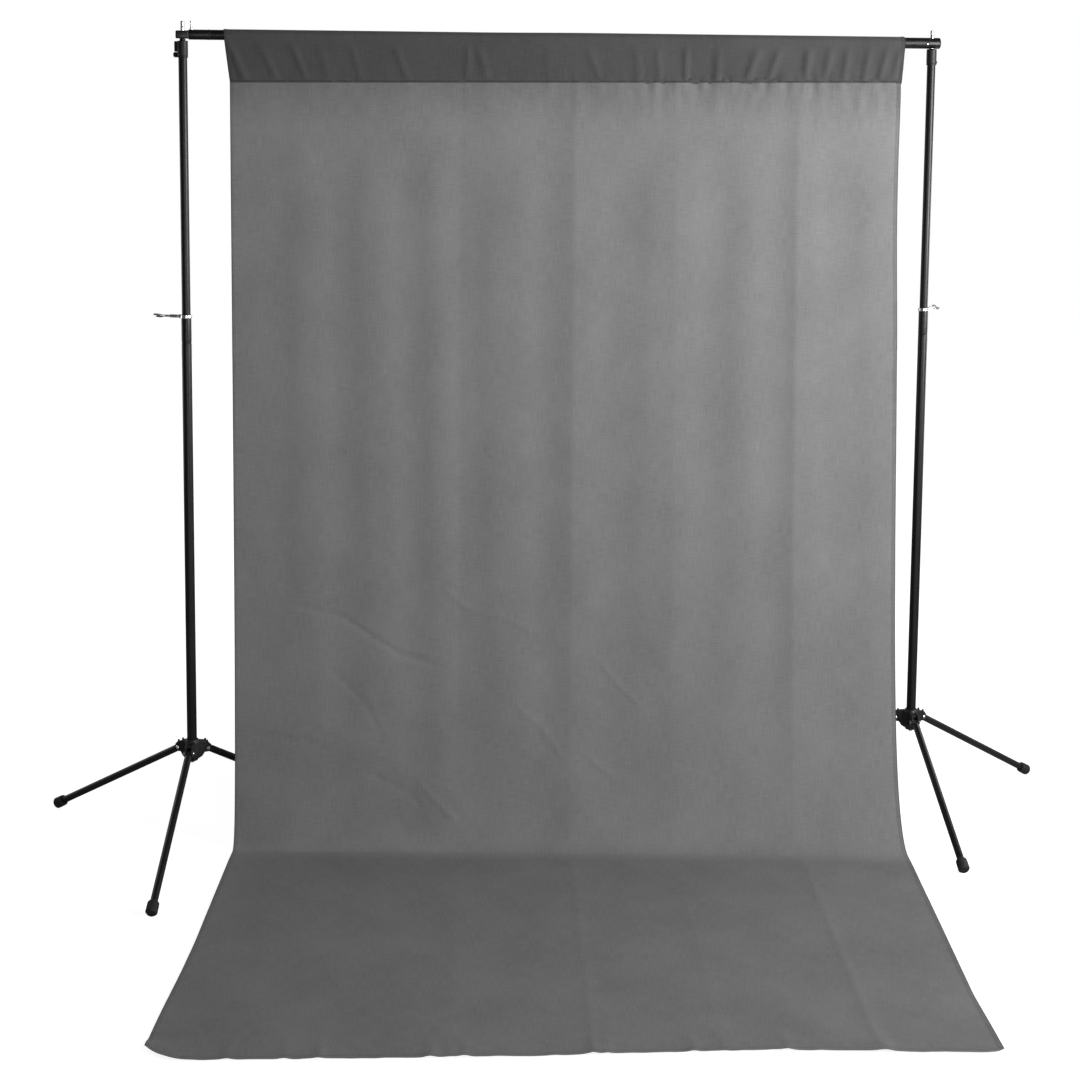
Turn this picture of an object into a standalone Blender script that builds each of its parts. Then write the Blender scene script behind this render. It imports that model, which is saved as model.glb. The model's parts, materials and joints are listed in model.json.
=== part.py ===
"""Portable background support, in metres, +Z up.

Two folding tripod stands carry a telescopic crossbar, and a cloth backdrop hangs from the crossbar by
its sewn rod pocket and sweeps forward over the floor. Inside this file places are counted from the
point on the floor midway between the two columns, with X along the crossbar; the whole model then
stands under one empty that puts the middle of its footprint at the origin.
"""

import math

import bmesh
import bpy
from mathutils import Vector

COLLECTION = "background_support"
CUTTERS = "cutters"

# Middle of the footprint, from the point midway between the columns.
FOOTPRINT_CENTRE = (0.0292, -0.4746)

GAP = 0.0003  # left between touching pieces
SEGMENTS = 16
SMALL_SEGMENTS = 10

# Stands
COLUMN_X = 0.85
STUD_TOP_Z = 1.852
BAR_Z = 1.823
COLLAR_BOTTOM_Z = 1.773
COLLAR_TOP_Z = 1.8095
KNOB_Z = 1.7795
KNOB_RADIUS = 0.0060
RING_Z = 1.2075
RING_HEIGHT = 0.0076
CRIMP_Z = 1.1485
HUB_TOP_Z = 0.2455
HUB_BOTTOM_Z = 0.1955
HUB_FLOOR = 0.0045
PIVOT_Z = 0.2215
PIVOT_RADIUS = 0.035
FOOT_CIRCLE = 0.423
FOOT_CENTRE_Z = 0.013

LOWER_TUBE = (0.0110, 0.0100)  # outer and inner radius
MIDDLE_TUBE = (0.0095, 0.0085)
TOP_ROD = (0.0080, 0.0068)
LEG_TUBE = (0.0080, 0.0067)
ROD_NECK_RADIUS = 0.0065
MIDDLE_TUBE_BOTTOM_Z = 0.855
TOP_ROD_BOTTOM_Z = 1.020
FRONT_LEG_DEG = {"left": 258.6, "right": 267.3}
SCREW_DEG = {"left": 156.0, "right": 45.0}  # where the clamp screws point
SIDE = {"left": -1, "right": 1}

# Hub lugs, leg ends and pivots
LUG_HALF_GAP = 0.0053
LUG_PLATE = 0.0037
LUG_END_RADIUS = 0.0090
LEG_END_HALF_WIDTH = 0.0050
LEG_END_RADIUS = 0.0065
LEG_TUBE_START = 0.0110
PIVOT_BOLT_RADIUS = 0.0025
PIVOT_HOLE_RADIUS = 0.0029
FOOT_RADIUS = 0.0130
FOOT_LENGTH = 0.030
FOOT_CHAMFER = 0.004
SOLE_DEPTH = 0.0008  # how much of a foot cap the floor has worn flat

# Studs
STUD_RADIUS = 0.0043
STUD_HOLE_RADIUS = 0.0048
STUD_WAIST_Z = 1.8410
STUD_SOCKET_Z = 1.790

# Crossbar
LEFT_BAR = (0.0110, 0.0095)
RIGHT_BAR = (0.0125, 0.0114)
LEFT_BAR_END_X = 0.45  # its thin end, inside the right bar tube
RIGHT_BAR_START_X = 0.05
BAR_OVERHANG_LEFT = 0.015
BAR_OVERHANG_RIGHT = 0.018
END_PIECE = (0.028, 0.020, 0.017)
BAND_X = -0.793
BAND_WIDTH = 0.005
KEEPER_INBOARD = 0.019
BUTTON_INBOARD = 0.015
BUTTON_RADIUS = 0.0034
BUTTON_DIP_DEG = 12.0

# Backdrop
CLOTH_THICKNESS = 0.0012
CLOTH_WIDTH = 1.524
CLOTH_CENTRE_X = 0.0122
POCKET_FLARE = {"left": 0.012, "right": 0.008}  # how much wider the pocket is at the bar
POCKET_RADIUS = 0.0141
HEM_Z = 1.7345
HEM_Y = -0.018
TOUCHDOWN = (-0.0122, -0.2001)  # middle of the line where the cloth meets the floor
SWEEP_TURN = -0.164  # radians by which the sweep is turned against the bar
SWEEP_LENGTH = 0.9635
END_SLANT = 0.046  # the front edge is cut out of square: longer on the left, per metre across
UPPER_BOTTOM_Z = 0.60
LOWER_BOTTOM_Z = 0.15
LAP = 0.0018  # the lower cloth lies this far in front, so that the upper can slide behind it

BLACK_PAINT = ("black_paint", (0.012, 0.012, 0.013), 0.3, 0.42)
BLACK_PLASTIC = ("black_plastic", (0.014, 0.014, 0.015), 0.0, 0.55)
BLACK_RUBBER = ("black_rubber", (0.016, 0.016, 0.017), 0.0, 0.85)
CHROME = ("chrome", (0.62, 0.63, 0.65), 1.0, 0.15)
GREY_CLOTH = ("grey_cloth", (0.16, 0.16, 0.16), 0.0, 0.92)


# ---------------------------------------------------------------- helpers


def clear_scene():
    for obj in list(bpy.data.objects):
        bpy.data.objects.remove(obj, do_unlink=True)


def new_collection(name):
    collection = bpy.data.collections.new(name)
    bpy.context.scene.collection.children.link(collection)
    return collection


def make_material(spec, node):
    """Each node has a material of its own, from a shared finish."""
    finish, colour, metallic, roughness = spec
    material = bpy.data.materials.new(f"{finish}_{node}")
    material.use_nodes = True
    shader = material.node_tree.nodes["Principled BSDF"]
    shader.inputs["Base Color"].default_value = (*colour, 1.0)
    shader.inputs["Metallic"].default_value = metallic
    shader.inputs["Roughness"].default_value = roughness
    return material


def empty(name, parent=None, location=(0, 0, 0), rotation=(0, 0, 0)):
    obj = bpy.data.objects.new(name, None)
    model.objects.link(obj)
    obj.parent = parent
    obj.location = location
    obj.rotation_euler = rotation
    return obj


def add(mesh, name, finish, parent, location=(0, 0, 0), rotation=(0, 0, 0)):
    """A sub-part: its mesh, name and material, placed under its parent."""
    obj = bpy.data.objects.new(name, mesh)
    model.objects.link(obj)
    obj.parent = parent
    obj.location = location
    obj.rotation_euler = rotation
    mesh.materials.clear()
    mesh.materials.append(make_material(finish, name))
    return obj


def add_cutter(mesh, name, parent, location=(0, 0, 0), rotation=(0, 0, 0)):
    obj = bpy.data.objects.new(name, mesh)
    cutters.objects.link(obj)
    obj.parent = parent
    obj.location = location
    obj.rotation_euler = rotation
    obj.hide_render = True
    obj.display_type = "WIRE"
    return obj


def boolean(obj, operation, tools):
    """Joins the tools to obj or cuts them from it, one after another."""
    for tool in tools:
        modifier = obj.modifiers.new(tool.name, "BOOLEAN")
        modifier.operation = operation
        modifier.object = tool
        modifier.solver = "EXACT"


def turned(profile, segments=SEGMENTS):
    """A mesh turned about Z. The profile is (radius, z), down the outer side; it starts and ends on
    the axis, or else it is a closed loop."""
    mesh = bpy.data.meshes.new("profile")
    solid = profile[0][0] == 0
    last = len(profile) - 1
    edges = [(i, i + 1) for i in range(last)]
    if not solid:
        edges.append((last, 0))
    mesh.from_pydata([(r, 0, z) for r, z in profile], edges, [])
    guide = bpy.data.objects.new("guide", mesh)
    bpy.context.scene.collection.objects.link(guide)
    screw = guide.modifiers.new("turn", "SCREW")
    screw.axis = "Z"
    screw.steps = segments
    screw.render_steps = segments
    screw.use_merge_vertices = True
    screw.merge_threshold = 0.00001
    turned_mesh = evaluated_mesh(guide)
    bpy.data.objects.remove(guide)
    smooth(turned_mesh)
    return turned_mesh


def evaluated_mesh(obj):
    depsgraph = bpy.context.evaluated_depsgraph_get()
    return bpy.data.meshes.new_from_object(obj.evaluated_get(depsgraph))


def smooth(mesh, sharp_deg=35):
    mesh.shade_smooth()
    mesh.set_sharp_from_angle(angle=math.radians(sharp_deg))


def tube(radii, low, high):
    """The profile of a plain tube from low to high along its axis."""
    outer, inner = radii
    return [(outer, high), (outer, low), (inner, low), (inner, high)]


def rod(radius, low, high):
    """The profile of a plain solid rod."""
    return [(0, high), (radius, high), (radius, low), (0, low)]


def box(low, high, bevel=0.0):
    """A box between two corners, its edges rounded by bevel."""
    mesh = bpy.data.meshes.new("box")
    low, high = Vector(low), Vector(high)
    shape = bmesh.new()
    bmesh.ops.create_cube(shape, size=1.0)
    bmesh.ops.scale(shape, vec=high - low, verts=shape.verts)
    bmesh.ops.translate(shape, vec=(high + low) / 2, verts=shape.verts)
    if bevel:
        bmesh.ops.bevel(shape, geom=shape.edges, offset=bevel, segments=2, profile=0.5, affect="EDGES")
    shape.to_mesh(mesh)
    shape.free()
    smooth(mesh)
    return mesh


def plate(outline, thickness):
    """A flat outline in X and Y, given half its thickness to each side along Z."""
    curve = bpy.data.curves.new("outline", "CURVE")
    curve.dimensions = "2D"
    curve.fill_mode = "BOTH"
    curve.extrude = thickness / 2
    spline = curve.splines.new("POLY")
    spline.points.add(len(outline) - 1)
    for point, (x, y) in zip(spline.points, outline):
        point.co = (x, y, 0, 1)
    spline.use_cyclic_u = True
    guide = bpy.data.objects.new("guide", curve)
    bpy.context.scene.collection.objects.link(guide)
    mesh = evaluated_mesh(guide)
    bpy.data.objects.remove(guide)
    shape = bmesh.new()
    shape.from_mesh(mesh)
    bmesh.ops.remove_doubles(shape, verts=shape.verts, dist=0.000001)
    shape.to_mesh(mesh)
    shape.free()
    return mesh


def arc(centre, radius, start_deg, end_deg, steps):
    """Points on an arc, both ends included."""
    points = []
    for i in range(steps + 1):
        angle = math.radians(start_deg + (end_deg - start_deg) * i / steps)
        points.append((centre[0] + radius * math.cos(angle), centre[1] + radius * math.sin(angle)))
    return points


def surface(grid, closed=False):
    """An open surface through rows of points. closed joins the last row to the first."""
    rows, columns = len(grid), len(grid[0])
    mesh = bpy.data.meshes.new("surface")
    vertices = [point for row in grid for point in row]
    faces = []
    for i in range(rows if closed else rows - 1):
        for j in range(columns - 1):
            a, b = i * columns + j, (i + 1) % rows * columns + j
            faces.append((a, b, b + 1, a + 1))
    mesh.from_pydata(vertices, [], faces)
    smooth(mesh, 60)
    return mesh


# ---------------------------------------------------------------- stands


ALONG_X = (0, math.pi / 2, 0)  # turns a piece's own Z to its parent's X
ALONG_Y = (-math.pi / 2, 0, 0)
STAND_UP = (math.pi / 2, 0, 0)  # turns a plate's own Y to its parent's Z
WING_TURN = (math.radians(25), 0, 0)  # how far the tightened wings stand out of level


def leg_slope():
    """The leg's angle below horizontal."""
    return math.atan2(PIVOT_Z - FOOT_CENTRE_Z, FOOT_CIRCLE - PIVOT_RADIUS)


def foot_cap_end():
    """How far along the leg its cap ends, so that its lowest edge is just worn flat by the floor."""
    slope = leg_slope()
    lowest = PIVOT_Z + SOLE_DEPTH - FOOT_RADIUS * math.cos(slope)
    return lowest / math.sin(slope) + FOOT_CHAMFER


def lug_outline():
    """One side plate of a lug: X is the distance from the column's axis, Y is the height."""
    pivot = (PIVOT_RADIUS, PIVOT_Z)
    top = [(0.010, 0.2420), (0.024, 0.2385), (0.031, 0.2375), (0.037, 0.2345), (0.0430, 0.2280)]
    under = [(0.027, PIVOT_Z - LUG_END_RADIUS), (0.021, 0.2040), (0.010, 0.1985)]
    return list(reversed(top)) + list(reversed(under)) + arc(pivot, LUG_END_RADIUS, -90, 20, 6)


def hub(stand, name, front_deg):
    """The casting at the foot of the column: a barrel, and a fork for each leg."""
    barrel = [
        (0.0113, HUB_TOP_Z),
        (0.0135, HUB_TOP_Z),
        (0.0168, 0.2390),
        (0.0168, 0.2070),
        (0.0125, HUB_BOTTOM_Z),
        (0.0034, HUB_BOTTOM_Z),
        (0.0034, HUB_BOTTOM_Z + HUB_FLOOR),
        (0.0113, HUB_BOTTOM_Z + HUB_FLOOR),
    ]
    body = add(turned(barrel), name, BLACK_PLASTIC, stand)
    joined, drilled = [], []
    for k in range(3):
        turn = empty(f"{name}_lug_{k}", stand, rotation=(0, 0, math.radians(front_deg + 120 * k)))
        for side in (-1, 1):
            middle = side * (LUG_HALF_GAP + LUG_PLATE / 2)
            cheek = plate(lug_outline(), LUG_PLATE)
            where = (0, middle, 0)
            joined.append(add_cutter(cheek, f"{name}_cheek_{k}_{side}", turn, where, STAND_UP))
        web = box((0.012, -0.0056, 0.2300), (0.030, 0.0056, 0.2368))
        joined.append(add_cutter(web, f"{name}_web_{k}", turn))
        hole = turned(rod(PIVOT_HOLE_RADIUS, -0.02, 0.02), SMALL_SEGMENTS)
        pivot = (PIVOT_RADIUS, 0, PIVOT_Z)
        drilled.append(add_cutter(hole, f"{name}_hole_{k}", turn, pivot, ALONG_Y))
    bore = turned(rod(0.0113, HUB_BOTTOM_Z + HUB_FLOOR, HUB_TOP_Z + 0.01))
    drilled.append(add_cutter(bore, f"{name}_bore", stand))
    boolean(body, "UNION", joined)
    boolean(body, "DIFFERENCE", drilled)


def column_screw(stand, name):
    """Comes up through the hub's floor into the end of the lower tube."""
    profile = [
        (0, 0.2220),
        (0.0029, 0.2220),
        (0.0029, HUB_BOTTOM_Z - GAP),
        (0.0048, HUB_BOTTOM_Z - GAP),
        (0.0048, 0.1918),
        (0.0038, 0.1905),
        (0, 0.1905),
    ]
    add(turned(profile, SMALL_SEGMENTS), name, CHROME, stand)


def lower_tube(stand, name):
    """The thickest tube, with a closed foot for the column screw and a rolled crimp near its top."""
    outer, inner = LOWER_TUBE
    foot = HUB_BOTTOM_Z + HUB_FLOOR + GAP
    top = RING_Z + RING_HEIGHT / 2 - 0.0008
    profile = [
        (outer, top),
        (outer, CRIMP_Z + 0.0018),
        (outer - 0.0005, CRIMP_Z + 0.0010),
        (outer - 0.0005, CRIMP_Z - 0.0010),
        (outer, CRIMP_Z - 0.0018),
        (outer, foot),
        (0.0034, foot),
        (0.0034, foot + 0.012),
        (inner, foot + 0.012),
        (inner, top),
    ]
    add(turned(profile), name, BLACK_PAINT, stand)


def ring_clamp(aim, name):
    """The ring round the top of the lower tube, with a drilled boss for the wing screw."""
    half = RING_HEIGHT / 2
    inner, outer = LOWER_TUBE[0] + GAP, 0.0126
    profile = [
        (inner, half),
        (outer - 0.0006, half),
        (outer, half - 0.0006),
        (outer, -half + 0.0006),
        (outer - 0.0006, -half),
        (inner, -half),
    ]
    ring = add(turned(profile), name, CHROME, aim)
    boss = turned(rod(0.0044, 0.0118, 0.0170), SMALL_SEGMENTS)
    boss = add_cutter(boss, f"{name}_boss", aim, rotation=ALONG_X)
    hole = turned(rod(0.0029, 0.0050, 0.0200), SMALL_SEGMENTS)
    hole = add_cutter(hole, f"{name}_hole", aim, rotation=ALONG_X)
    boolean(ring, "UNION", [boss])
    boolean(ring, "DIFFERENCE", [hole])


def wing_screw(aim, name):
    """A thin screw, a thicker barrel and a butterfly plate, all on the clamp's own X axis."""
    shaft = [
        (0, 0.0560),
        (0.0024, 0.0560),
        (0.0024, 0.0400),
        (0.0036, 0.0388),
        (0.0036, 0.0202),
        (0.0025, 0.0190),
        (0.0025, LOWER_TUBE[0] + 2 * GAP),
        (0, LOWER_TUBE[0] + 2 * GAP),
    ]
    screw = add(turned(shaft, SMALL_SEGMENTS), name, CHROME, aim, rotation=ALONG_X)
    upper = [
        (0.0480, 0.0022),
        (0.0560, 0.0052),
        (0.0615, 0.0092),
        (0.0700, 0.0100),
        (0.0765, 0.0078),
        (0.0745, 0.0030),
    ]
    lower = [(x, -y) for x, y in reversed(upper)]
    wings = plate([*upper, (0.0700, 0.0), *lower], 0.0026)
    blade = add_cutter(wings, f"{name}_blade", aim, rotation=WING_TURN)
    boolean(screw, "UNION", [blade])


def middle_tube(stand, name):
    profile = tube(MIDDLE_TUBE, MIDDLE_TUBE_BOTTOM_Z, COLLAR_TOP_Z - 0.0052)
    add(turned(profile), name, BLACK_PAINT, stand)


def top_collar(aim, name):
    """The plastic collar on the top of the middle tube: a sleeve, an ear and a hole for its knob."""
    low, high = COLLAR_BOTTOM_Z, COLLAR_TOP_Z
    profile = [
        (TOP_ROD[0] + 0.0004, high),
        (0.0107, high),
        (0.0115, high - 0.001),
        (0.0115, low + 0.001),
        (0.0107, low),
        (MIDDLE_TUBE[0] + GAP, low),
        (MIDDLE_TUBE[0] + GAP, high - 0.0048),
        (TOP_ROD[0] + 0.0004, high - 0.0048),
    ]
    collar = add(turned(profile), name, BLACK_PLASTIC, aim)
    ear = box((0.0105, -0.0045, KNOB_Z + 0.0065), (0.0182, 0.0045, high - 0.0008), 0.0010)
    ear = add_cutter(ear, f"{name}_ear", aim)
    hole = turned(rod(0.0024, 0.0050, 0.0150), SMALL_SEGMENTS)
    hole = add_cutter(hole, f"{name}_hole", aim, (0, 0, KNOB_Z), ALONG_X)
    boolean(collar, "UNION", [ear])
    boolean(collar, "DIFFERENCE", [hole])


def collar_knob(aim, name):
    head = 0.0125
    profile = [
        (0, head + 0.0090),
        (KNOB_RADIUS - 0.0020, head + 0.0086),
        (KNOB_RADIUS, head + 0.0068),
        (KNOB_RADIUS, head + 0.0012),
        (KNOB_RADIUS - 0.0010, head),
        (0.0019, head),
        (0.0019, 0.0100),
        (0, 0.0100),
    ]
    knob = turned(profile, SMALL_SEGMENTS)
    add(knob, name, BLACK_PLASTIC, aim, (0, 0, KNOB_Z), ALONG_X)


def top_rod(stand, name, bar_underside):
    """The thinnest section. Its narrow neck is drilled for the stud and carries the bar."""
    outer, inner = TOP_ROD
    top = bar_underside - GAP
    shoulder = COLLAR_TOP_Z - 0.0015
    profile = [
        (0, STUD_SOCKET_Z),
        (0.0034, STUD_SOCKET_Z),
        (0.0034, top),
        (ROD_NECK_RADIUS, top),
        (ROD_NECK_RADIUS, shoulder),
        (outer, shoulder - 0.0012),
        (outer, TOP_ROD_BOTTOM_Z),
        (inner, TOP_ROD_BOTTOM_Z),
        (inner, STUD_SOCKET_Z - 0.015),
        (0, STUD_SOCKET_Z - 0.015),
    ]
    add(turned(profile), name, BLACK_PAINT, stand)


def stud(stand, name, bar_underside):
    """Screwed into the rod's neck; it passes up through the bar and stands out above it."""
    seat = bar_underside
    waist = STUD_RADIUS - 0.0010
    profile = [
        (0, STUD_TOP_Z),
        (STUD_RADIUS - 0.0008, STUD_TOP_Z),
        (STUD_RADIUS, STUD_TOP_Z - 0.0010),
        (STUD_RADIUS, STUD_WAIST_Z + 0.0012),
        (waist, STUD_WAIST_Z + 0.0004),
        (waist, STUD_WAIST_Z - 0.0004),
        (STUD_RADIUS, STUD_WAIST_Z - 0.0012),
        (STUD_RADIUS, seat),
        (0.0030, seat),
        (0.0030, STUD_SOCKET_Z + GAP),
        (0, STUD_SOCKET_Z + GAP),
    ]
    add(turned(profile), name, CHROME, stand)


def leg(stand, name, azimuth_deg):
    """A leg on its pivot. Its own X runs down the leg and its own Y is the pivot's axis."""
    azimuth = math.radians(azimuth_deg)
    where = (PIVOT_RADIUS * math.cos(azimuth), PIVOT_RADIUS * math.sin(azimuth), PIVOT_Z)
    pivot = empty(f"{name}_pivot", stand, where, (0, leg_slope(), azimuth))
    cap_end = foot_cap_end()
    leg_end(pivot, f"{name}_end")
    profile = tube(LEG_TUBE, LEG_TUBE_START, cap_end - 0.0045)
    add(turned(profile), f"{name}_tube", BLACK_PAINT, pivot, rotation=ALONG_X)
    foot_cap(pivot, f"{name}_foot", cap_end)
    pivot_bolt(pivot, f"{name}_bolt")


def leg_end(pivot, name):
    """The flat tongue that turns in the lug, with a round plug that fills the end of the leg tube."""
    half = LEG_END_RADIUS
    face = LEG_TUBE_START - GAP
    outline = arc((0, 0), half, 90, 270, 8) + [(face, -half), (face, half)]
    tongue = add(plate(outline, 2 * LEG_END_HALF_WIDTH), name, BLACK_PLASTIC, pivot, rotation=STAND_UP)
    plug = turned(rod(LEG_TUBE[1] - GAP, face - 0.0008, 0.045))
    plug = add_cutter(plug, f"{name}_plug", pivot, rotation=ALONG_X)
    hole = turned(rod(PIVOT_HOLE_RADIUS, -0.02, 0.02), SMALL_SEGMENTS)
    hole = add_cutter(hole, f"{name}_hole", pivot, rotation=ALONG_Y)
    boolean(tongue, "UNION", [plug])
    boolean(tongue, "DIFFERENCE", [hole])


def foot_cap(pivot, name, end):
    """The cap on the leg's end, worn flat where it stands."""
    bore = LEG_TUBE[0] + GAP
    bottom = end - 0.0042
    profile = [
        (0, end),
        (FOOT_RADIUS - 0.0035, end),
        (FOOT_RADIUS, end - FOOT_CHAMFER),
        (FOOT_RADIUS - 0.0006, end - FOOT_LENGTH + 0.003),
        (FOOT_RADIUS - 0.0030, end - FOOT_LENGTH),
        (bore, end - FOOT_LENGTH),
        (bore, bottom),
        (0, bottom),
    ]
    cap = add(turned(profile), name, BLACK_RUBBER, pivot, rotation=ALONG_X)
    boolean(cap, "DIFFERENCE", [below_floor])


def pivot_bolt(pivot, name):
    face = LUG_HALF_GAP + LUG_PLATE + GAP
    profile = [
        (0, face + 0.0027),
        (0.0028, face + 0.0027),
        (0.0044, face + 0.0012),
        (0.0044, face),
        (PIVOT_BOLT_RADIUS, face),
        (PIVOT_BOLT_RADIUS, -face),
        (0.0040, -face),
        (0.0040, -face - 0.0024),
        (0, -face - 0.0024),
    ]
    add(turned(profile, SMALL_SEGMENTS), name, CHROME, pivot, rotation=ALONG_Y)


def build_stand(side):
    """One stand, all its pieces named for its side. The front leg points at the cloth's front."""
    stand = empty(f"{side}_stand", root, (SIDE[side] * COLUMN_X, 0, 0))
    front = FRONT_LEG_DEG[side]
    underside = BAR_Z - (END_PIECE[2] / 2 if side == "left" else RIGHT_BAR[0])
    hub(stand, f"{side}_hub", front)
    column_screw(stand, f"{side}_column_screw")
    lower_tube(stand, f"{side}_lower_tube")
    middle_tube(stand, f"{side}_middle_tube")
    top_rod(stand, f"{side}_top_rod", underside)
    stud(stand, f"{side}_stud", underside)
    turn = (0, 0, math.radians(SCREW_DEG[side]))
    clamp_aim = empty(f"{side}_clamp_aim", stand, (0, 0, RING_Z), turn)
    ring_clamp(clamp_aim, f"{side}_ring_clamp")
    wing_screw(clamp_aim, f"{side}_wing_screw")
    collar_aim = empty(f"{side}_collar_aim", stand, rotation=turn)
    top_collar(collar_aim, f"{side}_top_collar")
    collar_knob(collar_aim, f"{side}_collar_knob")
    outward = SIDE[side] * 120  # from the front leg to the leg that points away from the cloth
    leg(stand, f"{side}_front_leg", front)
    leg(stand, f"{side}_outer_leg", front + outward)
    leg(stand, f"{side}_inner_leg", front - outward)


# ---------------------------------------------------------------- crossbar


def build_crossbar():
    """The bar's own pieces, all on an axis that runs along X at the bar's height."""
    axis = empty("bar_axis", root, (0, 0, BAR_Z))
    stud_hole = turned(rod(STUD_HOLE_RADIUS, -0.03, 0.03))
    left_hole = add_cutter(stud_hole, "left_stud_hole", axis, (-COLUMN_X, 0, 0))
    right_hole = add_cutter(stud_hole, "right_stud_hole", axis, (COLUMN_X, 0, 0))
    end_piece(axis, left_hole)
    left_bar(axis)
    right_bar(axis, right_hole)
    snap_button()


def end_piece(axis, stud_hole):
    """The flattened end that the left stud passes through, with a spigot inside the bar tube."""
    length, depth, height = END_PIECE
    low = -COLUMN_X - BAR_OVERHANG_LEFT
    shape = box((low, -depth / 2, -height / 2), (low + length, depth / 2, height / 2), 0.0022)
    piece = add(shape, "bar_end_piece", BLACK_PAINT, axis)
    spigot = turned(rod(LEFT_BAR[1] - GAP, low + length - 0.004, low + length + 0.024))
    spigot = add_cutter(spigot, "bar_end_spigot", axis, rotation=ALONG_X)
    boolean(piece, "UNION", [spigot])
    boolean(piece, "DIFFERENCE", [stud_hole])


def left_bar(axis):
    """The bar tube from the left end. Its far end runs on inside the right bar tube."""
    outer, inner = LEFT_BAR
    start = -COLUMN_X - BAR_OVERHANG_LEFT + END_PIECE[0] + GAP
    half = BAND_WIDTH / 2
    seat = outer - 0.0008
    profile = [
        (outer, LEFT_BAR_END_X),
        (outer, BAND_X + half),
        (seat, BAND_X + half),
        (seat, BAND_X - half),
        (outer, BAND_X - half),
        (outer, start + 0.0006),
        (outer - 0.0006, start),
        (inner, start),
        (inner, LEFT_BAR_END_X),
    ]
    bar = add(turned(profile), "left_bar_tube", BLACK_PAINT, axis, rotation=ALONG_X)
    band = tube((outer + 0.0003, seat + GAP), BAND_X - half + GAP, BAND_X + half - GAP)
    add(turned(band), "bar_joint_band", BLACK_PLASTIC, axis, rotation=ALONG_X)
    where = (-COLUMN_X + KEEPER_INBOARD, 0, 0)
    keeper_radius = 0.0021
    hole = turned(rod(keeper_radius + 2 * GAP, 0.0, 0.02), SMALL_SEGMENTS)
    clearance = turned(rod(0.0040, outer - 0.0003, 0.02), SMALL_SEGMENTS)
    boolean(bar, "DIFFERENCE", [add_cutter(hole, "keeper_hole", axis, where)])
    boolean(bar, "DIFFERENCE", [add_cutter(clearance, "keeper_seat", axis, where)])
    boolean(bpy.data.objects["bar_end_piece"], "DIFFERENCE", [bpy.data.objects["keeper_hole"]])
    profile = [
        (0, outer + 0.0180),
        (0.0022, outer + 0.0180),
        (0.0030, outer + 0.0172),
        (0.0030, outer + 0.0120),
        (keeper_radius, outer + 0.0115),
        (keeper_radius, outer + 0.0040),
        (0.0032, outer + 0.0035),
        (0.0032, outer),
        (keeper_radius, outer),
        (keeper_radius, 0.0030),
        (0, 0.0030),
    ]
    add(turned(profile, SMALL_SEGMENTS), "bar_keeper_screw", CHROME, axis, where)


def right_bar(axis, stud_hole):
    """The thicker bar tube, drilled for the right stud and the snap button, with a plug in its end."""
    outer, inner = RIGHT_BAR
    end = COLUMN_X + BAR_OVERHANG_RIGHT - 0.003
    shape = turned(tube(RIGHT_BAR, RIGHT_BAR_START_X, end))
    bar = add(shape, "right_bar_tube", BLACK_PAINT, axis, rotation=ALONG_X)
    turn = (math.radians(90 + BUTTON_DIP_DEG), 0, 0)
    aim = empty("button_aim", axis, (COLUMN_X - BUTTON_INBOARD, 0, 0), turn)
    button_hole = turned(rod(BUTTON_RADIUS + GAP, 0.005, 0.02), SMALL_SEGMENTS)
    button_hole = add_cutter(button_hole, "button_hole", aim)
    boolean(bar, "DIFFERENCE", [stud_hole, button_hole])
    cap = [
        (0, end + 0.003),
        (outer - 0.0008, end + 0.003),
        (outer, end + 0.0022),
        (outer, end + GAP),
        (inner - GAP, end + GAP),
        (inner - GAP, end - 0.007),
        (0, end - 0.007),
    ]
    add(turned(cap), "right_bar_cap", BLACK_PLASTIC, axis, rotation=ALONG_X)


def snap_button():
    """A domed button with a flange behind the tube's wall."""
    outer, inner = RIGHT_BAR
    profile = [
        (0, outer + 0.0026),
        (BUTTON_RADIUS * 0.6, outer + 0.0022),
        (BUTTON_RADIUS, outer + 0.0006),
        (BUTTON_RADIUS, inner - 0.0012),
        (0.0044, inner - 0.0012),
        (0.0044, inner - 0.0026),
        (0, inner - 0.0026),
    ]
    add(turned(profile, SMALL_SEGMENTS), "snap_button", CHROME, bpy.data.objects["button_aim"])


# ---------------------------------------------------------------- backdrop


def sag(distance, height):
    """The catenary constant of cloth that hangs from height and meets the floor at distance."""
    low, high = 0.0001, 5.0
    for _ in range(60):
        middle = (low + high) / 2
        if middle * math.acosh((height + middle) / middle) < distance:
            low = middle
        else:
            high = middle
    return (low + high) / 2


def cloth_line(across):
    """Where one vertical thread of the cloth hangs: its top, its touchdown and its catenary constant."""
    top = Vector((CLOTH_CENTRE_X + across, HEM_Y))
    along = Vector((math.cos(SWEEP_TURN), math.sin(SWEEP_TURN)))
    foot = Vector(TOUCHDOWN) + along * across
    return top, foot, sag((foot - top).length, HEM_Z)


def cloth_point(across, z):
    """The point of that thread at height z."""
    top, foot, constant = cloth_line(across)
    reach = constant * math.acosh((z + constant) / constant)
    place = foot - (foot - top).normalized() * reach
    return (place.x, place.y, z)


def floor_point(across, share):
    """The point of that thread on the floor, at a share of the way from its touchdown to its end."""
    foot = cloth_line(across)[1]
    forward = Vector((math.sin(SWEEP_TURN), -math.cos(SWEEP_TURN)))
    place = foot + forward * share * (SWEEP_LENGTH - END_SLANT * across)
    return (place.x, place.y, 0)


def threads(count):
    """The places across the cloth of its modelled threads, from its left edge."""
    return [CLOTH_WIDTH * (j / count - 0.5) for j in range(count + 1)]


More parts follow.
